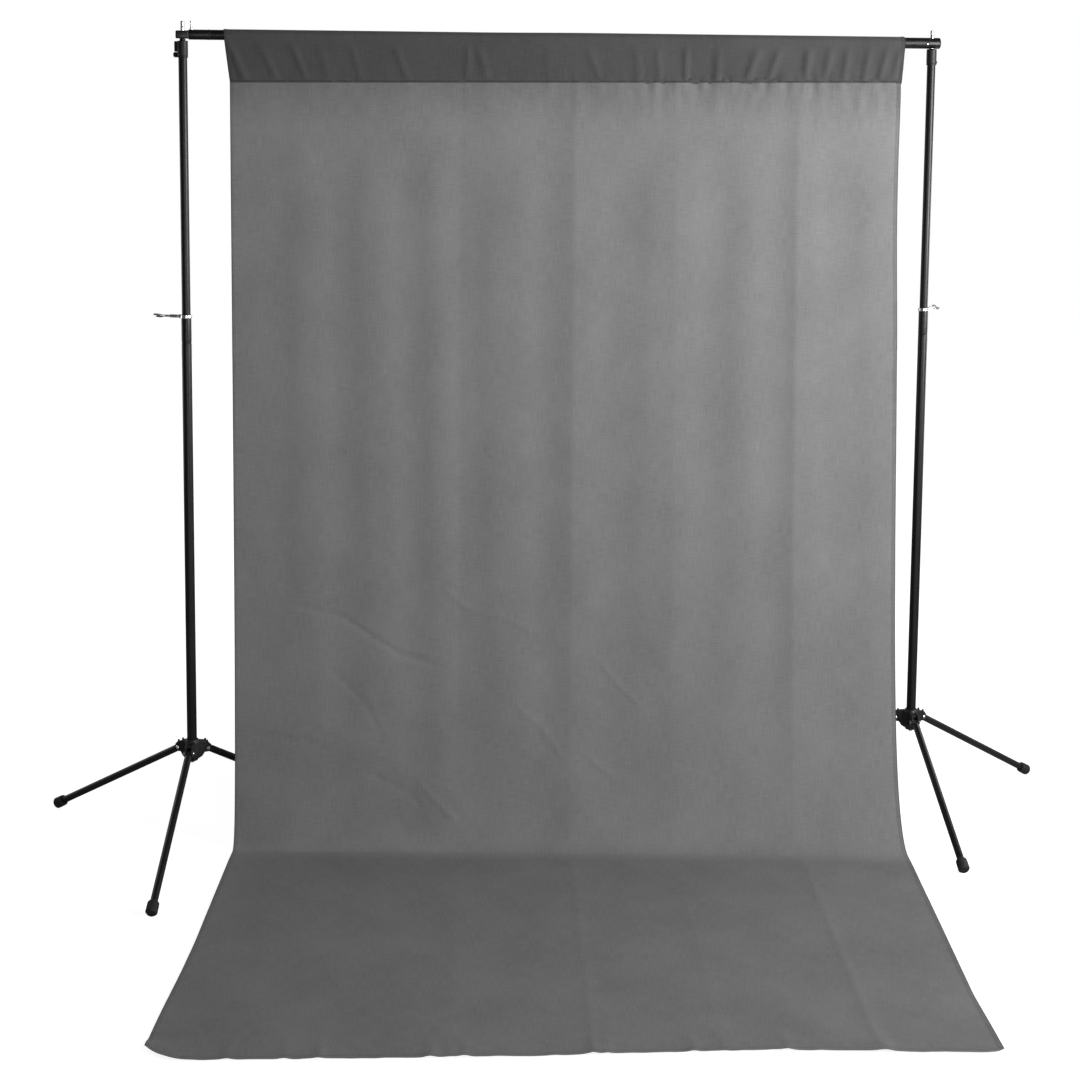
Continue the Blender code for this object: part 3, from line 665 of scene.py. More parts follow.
def show_clamps(side):
    """The ring clamp with its wing screw, and the top collar with its knob."""
    turn = stand_at(side) @ spin("Z", SCREW_DEG[side])
    ring_at = turn @ Matrix.Translation((0, 0, RING_Z))
    inner, outer = LOWER_TUBE[0] + SEAM, 0.0126
    ring = [(inner, RING_HALF), (outer, RING_HALF), (outer, -RING_HALF), (inner, -RING_HALF)]
    ring = turned(soften(ring, 0.0009))
    boss = moved(turned(soften(rod(0.0044, 0.0118, 0.0170), 0.0006), SMALL_ROUND), TO_X)
    hole = moved(turned(rod(0.0029, 0.0050, 0.0200), SMALL_ROUND), TO_X)
    show(f"{side}_ring_clamp", carved(ring, [boss], [hole]), "chrome", ring_at)
    start = LOWER_TUBE[0] + 2 * SEAM
    shaft = [(0, 0.0560), (0.0024, 0.0560), (0.0024, 0.0400)]
    shaft += [(0.0036, 0.0388), (0.0036, 0.0202), (0.0025, 0.0190)]
    ridges = []
    for k in range(6):
        z = 0.0186 - 0.0009 * k
        ridges += [(0.0025, z), (0.0021, z - 0.00045)]
    shaft += ridges + [(0.0021, start), (0, start)]
    wings = [(0.0480, 0.0022), (0.0560, 0.0052), (0.0615, 0.0092), (0.0670, 0.0103), (0.0730, 0.0098)]
    wings += [(0.0765, 0.0078), (0.0762, 0.0050), (0.0735, 0.0028), (0.0710, 0.0012)]
    outline = wings + [(x, -y) for x, y in reversed(wings)]
    blade = moved(plate(outline, 0.0026, 0.0009), spin("X", 25))
    screw = carved(moved(turned(soften(shaft, 0.0003), SMALL_ROUND), TO_X), [blade])
    show(f"{side}_wing_screw", screw, "chrome", ring_at)
    low, high = COLLAR
    rod_bore, tube_bore = TOP_ROD[0] + 0.0004, MIDDLE_TUBE[0] + SEAM
    sleeve = [
        (rod_bore, high),
        (0.0107, high),
        (0.0115, high - 0.001),
        (0.0115, low + 0.0060),
        (0.0111, low + 0.0052),
        (0.0111, low + 0.0040),
        (0.0115, low + 0.0032),
        (0.0115, low + 0.001),
        (0.0107, low),
        (tube_bore, low),
        (tube_bore, high - 0.0048),
        (rod_bore, high - 0.0048),
    ]
    ear = block((0.0105, -0.0045, KNOB_Z + 0.0065), (0.0182, 0.0045, high - 0.0008), 0.0014)
    knob_at = Matrix.Translation((0, 0, KNOB_Z))
    hole = moved(turned(rod(0.0024, 0.0050, 0.0150), SMALL_ROUND), knob_at @ TO_X)
    show(f"{side}_top_collar", carved(turned(soften(sleeve, 0.0004)), [ear], [hole]), "black_plastic", turn)
    r = KNOB_RADIUS
    grip = [(0, 0.0215), (r - 0.0020, 0.0211), (r, 0.0193), (r, 0.0137), (r - 0.0010, 0.0125), (0, 0.0125)]
    stem = [(0, 0.0132), (0.0019, 0.0132), (0.0019, 0.0100), (0, 0.0100)]
    head = turned(soften(grip, 0.0006), 54, 9, 0.0006)
    knob = joined(head, turned(stem, SMALL_ROUND))
    show(f"{side}_collar_knob", knob, "black_plastic", turn @ knob_at @ TO_X)


def leg_at(side, leg):
    outward = SIDES[side] * 120
    azimuth = FRONT_LEG_DEG[side] + {"front": 0, "outer": outward, "inner": -outward}[leg]
    pivot = Matrix.Translation((PIVOT_RADIUS, 0, PIVOT_Z))
    return stand_at(side) @ spin("Z", azimuth) @ pivot @ spin("Y", math.degrees(LEG_SLOPE))


def show_leg(side, leg):
    name = f"{side}_{leg}_leg"
    pivot = leg_at(side, leg)
    face = LEG_TUBE_START - SEAM
    outline = arc((0, 0), 0.0065, 90, 270, 20) + [(face, -0.0065), (face, 0.0065)]
    tongue = moved(plate(outline, 0.0100, 0.0008), STAND_UP)
    plug = moved(turned(soften(rod(LEG_TUBE[1] - SEAM, face - 0.0008, 0.045), 0.0005), SMALL_ROUND), TO_X)
    hole = moved(turned(rod(0.0029, -0.02, 0.02), SMALL_ROUND), TO_Y)
    show(f"{name}_end", carved(tongue, [plug], [hole]), "black_plastic", pivot)
    outer = LEG_TUBE[0]
    leg_tube = [
        (outer, FOOT_END - 0.0045),
        (outer, LEG_TUBE_START + 0.0210),
        (outer - 0.0004, LEG_TUBE_START + 0.0200),
        (outer - 0.0004, LEG_TUBE_START + 0.0188),
        (outer, LEG_TUBE_START + 0.0178),
        (outer, LEG_TUBE_START),
        (LEG_TUBE[1], LEG_TUBE_START),
        (LEG_TUBE[1], FOOT_END - 0.0045),
    ]
    show(f"{name}_tube", turned(soften(leg_tube, 0.0006)), "black_paint", pivot @ TO_X)
    bore, bottom = LEG_TUBE[0] + SEAM, FOOT_END - 0.0042
    cap = [(0, FOOT_END), (FOOT_RADIUS - 0.0035, FOOT_END), (FOOT_RADIUS, FOOT_END - 0.004)]
    for k in range(3):
        z = FOOT_END - 0.010 - 0.0042 * k
        cap += [(FOOT_RADIUS - 0.0002, z + 0.0010), (FOOT_RADIUS - 0.0008, z)]
        cap.append((FOOT_RADIUS - 0.0002, z - 0.0010))
    cap += [
        (FOOT_RADIUS - 0.0006, FOOT_END - FOOT_LENGTH + 0.003),
        (FOOT_RADIUS - 0.0030, FOOT_END - FOOT_LENGTH),
        (bore, FOOT_END - FOOT_LENGTH),
        (bore, bottom),
        (0, bottom),
    ]
    shape = moved(turned(soften(cap, 0.0006)), pivot @ TO_X)
    show(f"{name}_foot", above_floor(shape), "black_rubber")
    seat = 0.0053 + 0.0037 + SEAM
    head = [(0, seat + 0.0014), (0.0013, seat + 0.0014), (0.0015, seat + 0.0027), (0.0028, seat + 0.0026)]
    end = -seat - 0.0010
    head += [(0.0044, seat + 0.0010), (0.0044, seat), (0.0025, seat), (0.0025, end), (0, end)]
    nut = [(0, -seat), (0.0040, -seat), (0.0042, -seat - 0.0019)]
    nut += [(0.0034, -seat - 0.0024), (0, -seat - 0.0024)]
    bolt = joined(turned(soften(head, 0.0003), SMALL_ROUND), turned(nut, 6))
    show(f"{name}_bolt", bolt, "chrome", pivot @ TO_Y)


def show_crossbar():
    axis = Matrix.Translation(ORIGIN + Vector((0, 0, BAR_Z)))
    stud_hole = turned(rod(0.0048, -0.03, 0.03), SMALL_ROUND)
    left_hole = moved(stud_hole, Matrix.Translation((-COLUMN_X, 0, 0)))
    right_hole = moved(stud_hole, Matrix.Translation((COLUMN_X, 0, 0)))
    keeper_at = Matrix.Translation((-COLUMN_X + 0.019, 0, 0))
    keeper_hole = moved(turned(rod(0.0027, 0.0, 0.02), SMALL_ROUND), keeper_at)
    low = -COLUMN_X - 0.015
    flat = block((low, -0.010, -0.0085), (low + 0.028, 0.010, 0.0085), 0.0024)
    spigot = moved(turned(rod(LEFT_BAR[1] - SEAM, low + 0.024, low + 0.052)), TO_X)
    show("bar_end_piece", carved(flat, [spigot], [left_hole, keeper_hole]), "black_paint", axis)
    outer, inner = LEFT_BAR
    start, far = low + 0.028 + SEAM, 0.45
    band_x, half, seat = -0.793, 0.0025, outer - 0.0008
    bar = [
        (outer, far),
        (outer, band_x + half),
        (seat, band_x + half),
        (seat, band_x - half),
        (outer, band_x - half),
        (outer, start),
        (inner, start),
        (inner, far),
    ]
    seat_cut = moved(turned(rod(0.0040, outer - 0.0003, 0.02), SMALL_ROUND), keeper_at)
    bar = moved(turned(soften(bar, 0.0004)), TO_X)
    show("left_bar_tube", carved(bar, [], [keeper_hole, seat_cut]), "black_paint", axis)
    band = tube((outer + 0.0003, seat + SEAM), band_x - half + SEAM, band_x + half - SEAM)
    show("bar_joint_band", turned(soften(band, 0.0004)), "black_plastic", axis @ TO_X)
    keeper = [
        (0, outer + 0.0180),
        (0.0022, outer + 0.0180),
        (0.0030, outer + 0.0172),
        (0.0030, outer + 0.0120),
        (0.0021, outer + 0.0115),
        (0.0021, outer + 0.0040),
        (0.0032, outer + 0.0035),
        (0.0032, outer),
        (0.0021, outer),
        (0.0021, 0.0030),
        (0, 0.0030),
    ]
    show("bar_keeper_screw", turned(soften(keeper, 0.0004), SMALL_ROUND), "chrome", axis @ keeper_at)
    outer, inner = RIGHT_BAR
    end = COLUMN_X + 0.015
    button_at = Matrix.Translation((COLUMN_X - 0.015, 0, 0)) @ spin("X", 102)
    button_hole = moved(turned(rod(0.0034 + SEAM, 0.005, 0.02), SMALL_ROUND), button_at)
    bar = moved(turned(soften(tube(RIGHT_BAR, 0.05, end), 0.0005)), TO_X)
    show("right_bar_tube", carved(bar, [], [right_hole, button_hole]), "black_paint", axis)
    cap = [
        (0, end + 0.003),
        (outer - 0.0008, end + 0.003),
        (outer, end + 0.0022),
        (outer, end + SEAM),
        (inner - SEAM, end + SEAM),
        (inner - SEAM, end - 0.007),
        (0, end - 0.007),
    ]
    show("right_bar_cap", turned(soften(cap, 0.0006)), "black_plastic", axis @ TO_X)
    button = [
        (0, outer + 0.0026),
        (0.0012, outer + 0.0025),
        (0.0023, outer + 0.0020),
        (0.0031, outer + 0.0012),
        (0.0034, outer + 0.0002),
        (0.0034, inner - 0.0012),
        (0.0044, inner - 0.0012),
        (0.0044, inner - 0.0026),
        (0, inner - 0.0026),
    ]
    show("snap_button", turned(soften(button, 0.0003), SMALL_ROUND), "chrome", axis @ button_at)


# ---------------------------------------------------------------- cloth


CLOTH_WIDTH = 1.524
CLOTH_CENTRE_X = 0.0122
CLOTH_DEPTH = 0.0010  # thickness
POCKET_FLARE = (0.012, 0.008)  # how much wider the pocket is at the bar, at its left and right
POCKET_RADIUS = 0.0141
HEM_DROP = 0.0064  # how far the hem hangs below HEM_Z at the middle
HEM_TILT = 0.0076  # how much more that is per metre to the left
HEM_SETTLE = 0.4  # the length of cloth under the hem over which that dies away
SNUG = (0.82, 0.925)  # how closely the pocket's top sits on the thin left tube and the wider right one
# How the front edge wanders from its straight cut: places across, and how much longer the cloth is.
END_WANDER = ((-0.76, -0.10, 0.20, 0.35, 0.60, 0.76), (0.009, 0.011, 0.000, -0.003, 0.012, 0.020))
HEM_Z = 1.7345
HEM_Y = -0.018
TOUCHDOWN = (-0.0122, -0.2001)
SWEEP_TURN = -0.164
SWEEP_LENGTH = 0.9635
END_SLANT = 0.046
SPLIT_Z = 0.95  # where the upper and lower cloth part, level with what the middle tubes carry
SIDE_HEM = 0.009
EDGE_TUCK = 0.006  # how far the right edge draws in, a little below the hem
CORNER_SPREAD = 0.009  # how far the front right corner lies out to the right
RNG = np.random.default_rng(7)


def smoothstep(x, low, high):
    t = np.clip((x - low) / (high - low), 0, 1)
    return t * t * (3 - 2 * t)


class Rumple:
    """Smooth random heights over the cloth, from a seeded lattice of given cells across and along."""

    def __init__(self, across, along):
        self.across, self.along = across, along
        self.grid = RNG.uniform(-1, 1, (int(4.5 / along) + 3, int(2.0 / across) + 3))

    def __call__(self, s, l):
        x, y = (s + 1.0) / self.across, (l + 1.0) / self.along
        i, j = np.floor(x).astype(int), np.floor(y).astype(int)
        u, v = x - i, y - j
        u, v = u * u * (3 - 2 * u), v * v * (3 - 2 * v)
        rows, columns = self.grid.shape

        def height(row, column):
            return self.grid[row % rows, column % columns]

        near = height(j, i) * (1 - u) + height(j, i + 1) * u
        far = height(j + 1, i) * (1 - u) + height(j + 1, i + 1) * u
        return near * (1 - v) + far * v


def spaced(low, high, step):
    """Even places from low to high, about step apart, both ends in."""
    return np.linspace(low, high, max(2, round(abs(high - low) / step) + 1))


def across_places():
    """The cloth's modelled threads: even, and closer where its side hems are stitched."""
    edge = CLOTH_WIDTH / 2
    hem = [0, 0.0008, 0.0030, SIDE_HEM - 0.0012, SIDE_HEM, SIDE_HEM + 0.0012, SIDE_HEM + 0.004]
    inner = spaced(-edge + 0.018, edge - 0.018, 0.0066)
    return np.concatenate([[-edge + h for h in hem], inner, [edge - h for h in reversed(hem)]])


def sag(distance, height):
    """The catenary constant of cloth that hangs from height and meets the floor at distance."""
    low, high = np.full_like(distance, 0.0001), np.full_like(distance, 5.0)
    for _ in range(60):
        constant = (low + high) / 2
        short = constant * np.arccosh((height + constant) / constant) < distance
        low, high = np.where(short, constant, low), np.where(short, high, constant)
    return (low + high) / 2


class Drape:
    """The cloth's smooth underside, row by row from its folded-over end, over the bar, to the floor."""

    def __init__(self):
        self.s = across_places()
        along = np.array((math.cos(SWEEP_TURN), math.sin(SWEEP_TURN)))
        self.top = np.stack([CLOTH_CENTRE_X + self.s, np.full_like(self.s, HEM_Y)], 1)
        self.foot = np.array(TOUCHDOWN) + self.s[:, None] * along
        run = self.foot - self.top
        self.distance = np.linalg.norm(run, axis=1)
        self.heading = run / self.distance[:, None]
        self.constant = sag(self.distance, HEM_Z)
        self.rows, self.marks = [], {}
        self.pocket_rows()
        self.marks["hem"] = len(self.rows) - 1
        self.hanging_rows()
        self.marks["touchdown"] = len(self.rows) - 1
        self.floor_rows()
        self.points = np.array(self.rows)
        self.level = self.points[:, :, 2].copy()
        pulled = np.clip((BAR_Z - self.level) / (BAR_Z - HEM_Z), 0, 1)
        pulled = pulled * np.exp(-np.maximum(HEM_Z - self.level, 0) / HEM_SETTLE)
        self.points[:, :, 2] -= pulled * (HEM_DROP - HEM_TILT * self.s)
        centre = self.points[:, len(self.s) // 2]
        steps = np.linalg.norm(np.diff(centre, axis=0), axis=1)
        length = np.concatenate([[0], np.cumsum(steps)])
        self.length = length - length[self.marks["hem"]]  # from the hem, negative in the pocket

    def pocket_rows(self):
        seam = [(HEM_Y + SEAM, HEM_Z + h) for h in (-0.0045, -0.0020, 0.0012)]
        back = [(HEM_Y + SEAM, HEM_Z + 0.003), (HEM_Y + 0.0012, HEM_Z + 0.006)]
        rise = [(HEM_Y + 0.0045, HEM_Z + 0.013)]
        for t in np.linspace(0, 1, 11)[1:]:
            y = HEM_Y + 0.0045 + (POCKET_RADIUS - HEM_Y - 0.0045) * math.sin(t * math.pi / 2)
            rise.append((y, HEM_Z + 0.013 + (BAR_Z - HEM_Z - 0.013) * t))
        over = arc((0, BAR_Z), POCKET_RADIUS, 0, 180, 14)[1:]
        front = []
        for z in spaced(BAR_Z - 0.004, HEM_Z + 0.008, 0.0052):
            t = (BAR_Z - z) / (BAR_Z - HEM_Z)
            front.append((-POCKET_RADIUS + (HEM_Y + POCKET_RADIUS) * smoothstep(t, 0, 1.0), z))
        front += [(HEM_Y, HEM_Z + h) for h in (0.0055, 0.0035, 0.0018, 0.0008, 0.0)]
        for y, z in seam + back + rise + over + front:
            share = min(1.0, max(0.0, (z - HEM_Z) / (BAR_Z - HEM_Z)))
            flare = np.where(self.s < 0, POCKET_FLARE[0], POCKET_FLARE[1]) * share
            x = CLOTH_CENTRE_X + self.s * (1 + flare / (CLOTH_WIDTH / 2))
            snug = SNUG[0] + (SNUG[1] - SNUG[0]) * smoothstep(x, -0.20, 0.05)
            height = BAR_Z + (z - BAR_Z) * snug if z > BAR_Z else np.full_like(x, z)
            self.rows.append(np.stack([x, y * (1 + (snug - 1) * share), height], 1))

    def hang(self, z):
        reach = self.constant * np.arccosh((z + self.constant) / self.constant)
        place = self.foot - self.heading * reach[:, None]
        place[:, 0] -= EDGE_TUCK * smoothstep(self.s, 0.45, 0.76) * math.exp(-(((z - 1.45) / 0.25) ** 2))
        self.rows.append(np.column_stack([place, np.full(len(place), z)]))

    def hanging_rows(self):
        heights = [HEM_Z - h for h in (0.0008, 0.0018, 0.0035, 0.0055, 0.009)]
        heights += list(spaced(HEM_Z - 0.014, 1.58, 0.0062))
        heights += list(spaced(1.57, SPLIT_Z, 0.0125))
        self.marks["split"] = len(self.rows) + len(heights) - 1
        heights += list(spaced(SPLIT_Z - 0.010, 0.16, 0.0090))
        heights += [0.152 * (1 - i / 20) ** 2 for i in range(21)]
        for z in heights:
            self.hang(z)

    def floor_rows(self):
        forward = np.array((math.sin(SWEEP_TURN), -math.cos(SWEEP_TURN)))
        full = SWEEP_LENGTH - END_SLANT * self.s + np.interp(self.s, *END_WANDER)
        shares = list(spaced(0.012, 0.96, 0.0135))
        shares += [0.9680, 0.9740, 0.9800, 0.9850, 0.9880, 0.9895, 0.9910, 0.9950, 0.9992, 1.0]
        edge = CLOTH_WIDTH / 2
        bow = 0.013 * np.exp(-(((self.s + edge) / 0.09) ** 2))
        left = np.clip(1 - (self.s + edge) / 0.085, 0, 1) ** 2.2 * 0.052
        right = np.clip(1 - (edge - self.s) / 0.030, 0, 1) ** 2.2 * 0.012
        for share in shares:
            distance = share * full - (left + right) * smoothstep(share, 0.90, 1.0)
            place = self.foot + forward * distance[:, None]
            place[:, 0] -= bow * smoothstep(share, 0.45, 0.98)
            place[:, 0] += CORNER_SPREAD * smoothstep(self.s, 0.60, 0.76) * smoothstep(share, 0.70, 1.0)
            self.rows.append(np.column_stack([place, np.zeros(len(place))]))

    def normals(self, points):
        """Unit normals on the cloth's outer side: towards the front where it hangs, up on the floor."""
        down = np.gradient(points, axis=0)
        sideways = np.gradient(points, axis=1)
        n = np.cross(down, sideways)
        return n / np.linalg.norm(n, axis=2, keepdims=True)


def ridge(distance, width):
    return np.exp(-((distance / width) ** 2))


def polyline_ridge(s, z, points, width):
    """A crease along a line of (across, height) points, fading towards both its ends."""
    best = np.full(s.shape, 1e9)
    share = np.zeros(s.shape)
    points = np.array(points, float)
    legs = len(points) - 1
    for k in range(legs):
        a, b = points[k], points[k + 1]
        run = b - a
        t = np.clip(((s - a[0]) * run[0] + (z - a[1]) * run[1]) / (run @ run), 0, 1)
        d = np.hypot(s - a[0] - t * run[0], z - a[1] - t * run[1])
        nearer = d < best
        best = np.where(nearer, d, best)
        share = np.where(nearer, (k + t) / legs, share)
    fade = smoothstep(share, 0, 0.18) * smoothstep(-share, -1, -0.82)
    return ridge(best, width) * fade


# Soft hanging folds: where the cloth turns to face right, and where it turns back.
FACING_RIGHT = (-0.561, -0.400, -0.268, -0.085, 0.062, 0.281, 0.428, 0.574)
FACING_LEFT = (-0.640, -0.487, -0.330, -0.190, -0.020, 0.155, 0.355, 0.497, 0.680)
# Creases pressed into the cloth when it was folded away: place across, height, width.
PRESSED = ((0.002, 0.0012, 0.016), (0.236, 0.0010, 0.026), (0.519, 0.0022, 0.024), (-0.255, -0.0008, 0.022))
# Gathers in the pocket: place across at the hem, lean towards the bar, width, height.
GATHERS = (
    (-0.728, -0.030, 0.012, 0.0022),
    (-0.659, -0.035, 0.013, 0.0018),
    (-0.595, -0.030, 0.010, 0.0020),
    (-0.545, -0.020, 0.010, 0.0010),
    (-0.476, -0.018, 0.008, 0.0014),
    (-0.373, -0.030, 0.010, 0.0018),
    (-0.240, 0.004, 0.006, 0.0026),
    (-0.196, -0.020, 0.012, 0.0018),
    (-0.060, 0.000, 0.012, 0.0008),
    (0.060, -0.040, 0.014, 0.0016),
    (0.149, -0.015, 0.010, 0.0014),
    (0.195, -0.010, 0.009, 0.0018),
    (0.253, 0.000, 0.007, 0.0034),
    (0.325, 0.004, 0.012, 0.0030),
    (0.394, 0.030, 0.013, 0.0030),
    (0.446, 0.026, 0.012, 0.0028),
    (0.531, 0.006, 0.011, 0.0040),
    (0.577, 0.012, 0.011, 0.0030),
    (0.622, 0.008, 0.011, 0.0032),
    (0.668, 0.014, 0.010, 0.0032),
    (0.706, 0.018, 0.010, 0.0034),
    (0.740, 0.012, 0.009, 0.0022),
)
# Handling creases low on the cloth: height, width, and their line as (across, height) points.
CREASES = (
    (-0.0016, 0.0085, ((-0.670, 0.564), (-0.526, 0.530), (-0.389, 0.439), (-0.286, 0.405))),
    (-0.0012, 0.0080, ((-0.744, 0.268), (-0.606, 0.245), (-0.538, 0.218))),
    (-0.0013, 0.0080, ((-0.480, 0.177), (-0.366, 0.120), (-0.330, 0.080))),
    (0.0015, 0.0080, ((-0.355, 0.155), (-0.300, 0.098), (-0.252, 0.052))),
    (0.0010, 0.0090, ((-0.309, 0.609), (-0.240, 0.541), (-0.149, 0.518), (-0.069, 0.473))),
    (0.0010, 0.0080, ((0.023, 0.211), (0.100, 0.150), (0.172, 0.120))),
    (0.0010, 0.0080, ((0.057, 0.427), (0.110, 0.360), (0.172, 0.302))),
    (-0.0008, 0.0100, ((-0.560, 0.420), (-0.470, 0.330), (-0.430, 0.240))),
    (0.0008, 0.0100, ((-0.140, 0.330), (-0.060, 0.260), (0.000, 0.170))),
)


def pocket_relief(s, z):
    """Gathers between the bar and the hem, tight small puckers on the stitching, flat over the bar."""
    up = np.clip((z - HEM_Z) / (BAR_Z - HEM_Z), 0, 1)
    face = smoothstep(up, 0.0, 0.10) * smoothstep(-up, -0.98, -0.55)
    relief = np.zeros(s.shape)
    for place, lean, width, height in GATHERS:
        relief += 1.6 * height * ridge(s - place - lean * up, width * (0.45 + 0.45 * up)) * face
    tight = smoothstep(s, -0.15, 0.45) * 0.8 + 0.2
    relief += 0.0034 * tight * Rumple(0.011, 0.02)(s, up * 0.05) * smoothstep(-up, -0.35, -0.04) * (up > 0)
    return relief


def hanging_relief(s, z, below):
    """What the hanging cloth adds to its smooth drape. below is how far down from the hem a point is."""
    shown = smoothstep(below, 0.02, 0.30) * (0.35 + 0.65 * smoothstep(z, 0.10, 0.75))
    drift = 0.010 * np.sin(2.1 * z + 6 * s)
    folds = np.zeros(s.shape)
    for places, way in ((FACING_RIGHT, -1), (FACING_LEFT, 1)):
        for place in places:
            folds += way * np.tanh((s + drift - place) / 0.026)
    relief = 0.0024 * folds * shown
    for place, height, width in PRESSED:
        relief += 1.3 * height * np.exp(-np.abs(s - place) / width) * (0.45 + 0.55 * smoothstep(z, 0.1, 0.6))
    right = smoothstep(s, -0.25, 0.40)
    for place, _, width, height in GATHERS:
        reach = 0.020 + 0.060 * smoothstep(place, 0.1, 0.5)
        relief += 0.55 * height * ridge(s - place, width * (1.0 + below * 6)) * np.exp(-below / reach)
    relief += 0.0028 * (0.20 + right) * Rumple(0.016, 0.05)(s, below) * np.exp(-below / 0.045)
    for height, width, points in CREASES:
        relief += height * polyline_ridge(s, z, points, 0.7 * width)
    lower_left = smoothstep(-z, -0.75, -0.15) * smoothstep(-s, -0.3, 0.5)
    relief += 0.0022 * lower_left * Rumple(0.16, 0.10)(s + 0.6 * z, below)
    relief += 0.0006 * Rumple(0.055, 0.12)(s, below) + 0.0004 * Rumple(0.30, 0.05)(s, below)
    return relief


def floor_relief(s, share):
    """Low waves of the cloth on the floor, from a rest of nothing. share runs to the front edge."""
    relief = 0.0011 * (1 + Rumple(0.14, 0.11)(s, share)) + 0.0004 * (1 + Rumple(0.05, 0.06)(s, share))
    for place, height, width in PRESSED:
        relief += abs(height) * 1.2 * np.exp(-np.abs(s - place - 0.03 * share) / (0.5 * width))
    front = smoothstep(share, 0.90, 0.985)
    for place in (-0.62, -0.52, -0.46, -0.262, -0.20, 0.03, 0.055, 0.21, 0.38, 0.56):
        relief += 0.0024 * ridge(s - place, 0.010) * front
    relief += 0.0007 * (1 + Rumple(0.02, 0.02)(s, share)) * front
    corner = ridge(s + CLOTH_WIDTH / 2, 0.07) * smoothstep(share, 0.90, 1.0)
    return relief * smoothstep(share, 0.0, 0.06) + 0.0050 * corner


def relief_of(drape):
    """How far each point of the cloth stands off its smooth drape, to its outer side."""
    rows = drape.points.shape[0]
    s = np.tile(drape.s, (rows, 1))
    z = drape.level
    below = np.tile(drape.length[:, None], (1, len(drape.s)))
    hem, touchdown = drape.marks["hem"], drape.marks["touchdown"]
    relief = np.zeros(s.shape)
    relief[: hem + 1] = pocket_relief(s[: hem + 1], z[: hem + 1])
    hung = slice(hem, touchdown + 1)
    relief[hung] = hanging_relief(s[hung], z[hung], below[hung])
    floor_length = below[-1, 0] - below[touchdown, 0]
    share = (below[touchdown:] - below[touchdown, 0]) / floor_length
    settle = smoothstep(z, 0.0, 0.05)
    relief[hung] *= settle[hung]
    relief[touchdown:] += floor_relief(s[touchdown:], share)
    stitch = np.abs(z - HEM_Z) + np.where(below > 0.05, 1.0, 0.0)
    stitch[: hem - 20] = 1.0
    relief -= 0.0009 * ridge(stitch, 0.0016)
    edge = CLOTH_WIDTH / 2 - np.abs(s)
    fold = smoothstep(-edge, -SIDE_HEM - 0.0008, -SIDE_HEM + 0.0008)
    relief += 0.0005 * fold - 0.0003 * ridge(edge - SIDE_HEM, 0.0010) * (z > 0.002)
    fold = smoothstep(share, 0.9888, 0.9897)
    relief[touchdown:] += 0.0005 * fold
    relief[touchdown:] = np.maximum(relief[touchdown:], 0.0)
    return relief


def cloth_piece(name, drape, inner, outer, normals, first, last, finish):
    """Rows first to last of the cloth as one closed sheet, with the whole cloth's own shading normals."""
    rows, columns = last - first + 1, len(drape.s)
    count = rows * columns
    below = inner[first:last + 1].reshape(-1, 3)
    above = outer[first:last + 1].reshape(-1, 3)
    vertices = np.concatenate([above, below])
    facing = normals[first:last + 1].reshape(-1, 3)
    shading = np.concatenate([facing, -facing])
    i, j = np.meshgrid(np.arange(rows - 1), np.arange(columns - 1), indexing="ij")
    a = (i * columns + j).ravel()
    sheet = np.stack([a, a + columns, a + columns + 1, a + 1], 1)
    back = sheet[:, ::-1] + count
    across = np.arange(columns - 1)
    end = (rows - 1) * columns
    head = np.stack([across, across + 1, across + 1 + count, across + count], 1)
    tail = np.stack([end + across + 1, end + across, end + across + count, end + across + 1 + count], 1)
    down = np.arange(rows - 1) * columns
    left = np.stack([down + columns, down, down + count, down + columns + count], 1)
    right = np.stack([down, down + columns, down + columns + count, down + count], 1) + [columns - 1] * 4
    rim = np.concatenate([head, tail, left, right])
    faces = np.concatenate([sheet, back, rim])
    mesh = bpy.data.meshes.new(name)
    mesh.from_pydata(vertices.tolist(), [], faces.tolist())
    mesh.shade_smooth()
    rim_corners = vertices[rim]
    flat = np.cross(rim_corners[:, 1] - rim_corners[:, 0], rim_corners[:, 2] - rim_corners[:, 1])
    flat /= np.linalg.norm(flat, axis=1, keepdims=True)
    loops = np.concatenate([shading[faces[: 2 * len(sheet)].ravel()], np.repeat(flat, 4, axis=0)])
    mesh.normals_split_custom_set(loops.tolist())
    at = np.zeros((2 * count, 3), np.float32)
    at[:, 0] = np.tile(np.tile(drape.s, rows), 2)
    at[:, 1] = np.tile(np.repeat(drape.length[first:last + 1], columns), 2)
    mesh.attributes.new("cloth_at", "FLOAT_VECTOR", "POINT").data.foreach_set("vector", at.ravel())
    mesh.materials.append(FINISHES[finish])
    piece = bpy.data.objects.new(name, mesh)
    bpy.context.scene.collection.objects.link(piece)
    return piece


def stitch_shape(centre, along, out, length):
    """One small stitch: a flat-ended bead along its thread, half sunk in the cloth."""
    side = along.cross(out).normalized()
    vertices, faces = [], []
    for t, r in ((-0.5, 0.00012), (-0.36, 0.00034), (0.36, 0.00034), (0.5, 0.00012)):
        for k in range(6):
            angle = math.pi * k / 3
            ring = side * math.cos(angle) + out * math.sin(angle)
            vertices.append(tuple(centre + along * length * t + ring * r))
    for k in range(6):
        n = (k + 1) % 6
        for row in (0, 6, 12):
            faces.append((row + k, row + n, row + 6 + n, row + 6 + k))
    faces.append((5, 4, 3, 2, 1, 0))
    faces.append((18, 19, 20, 21, 22, 23))
    return vertices, faces


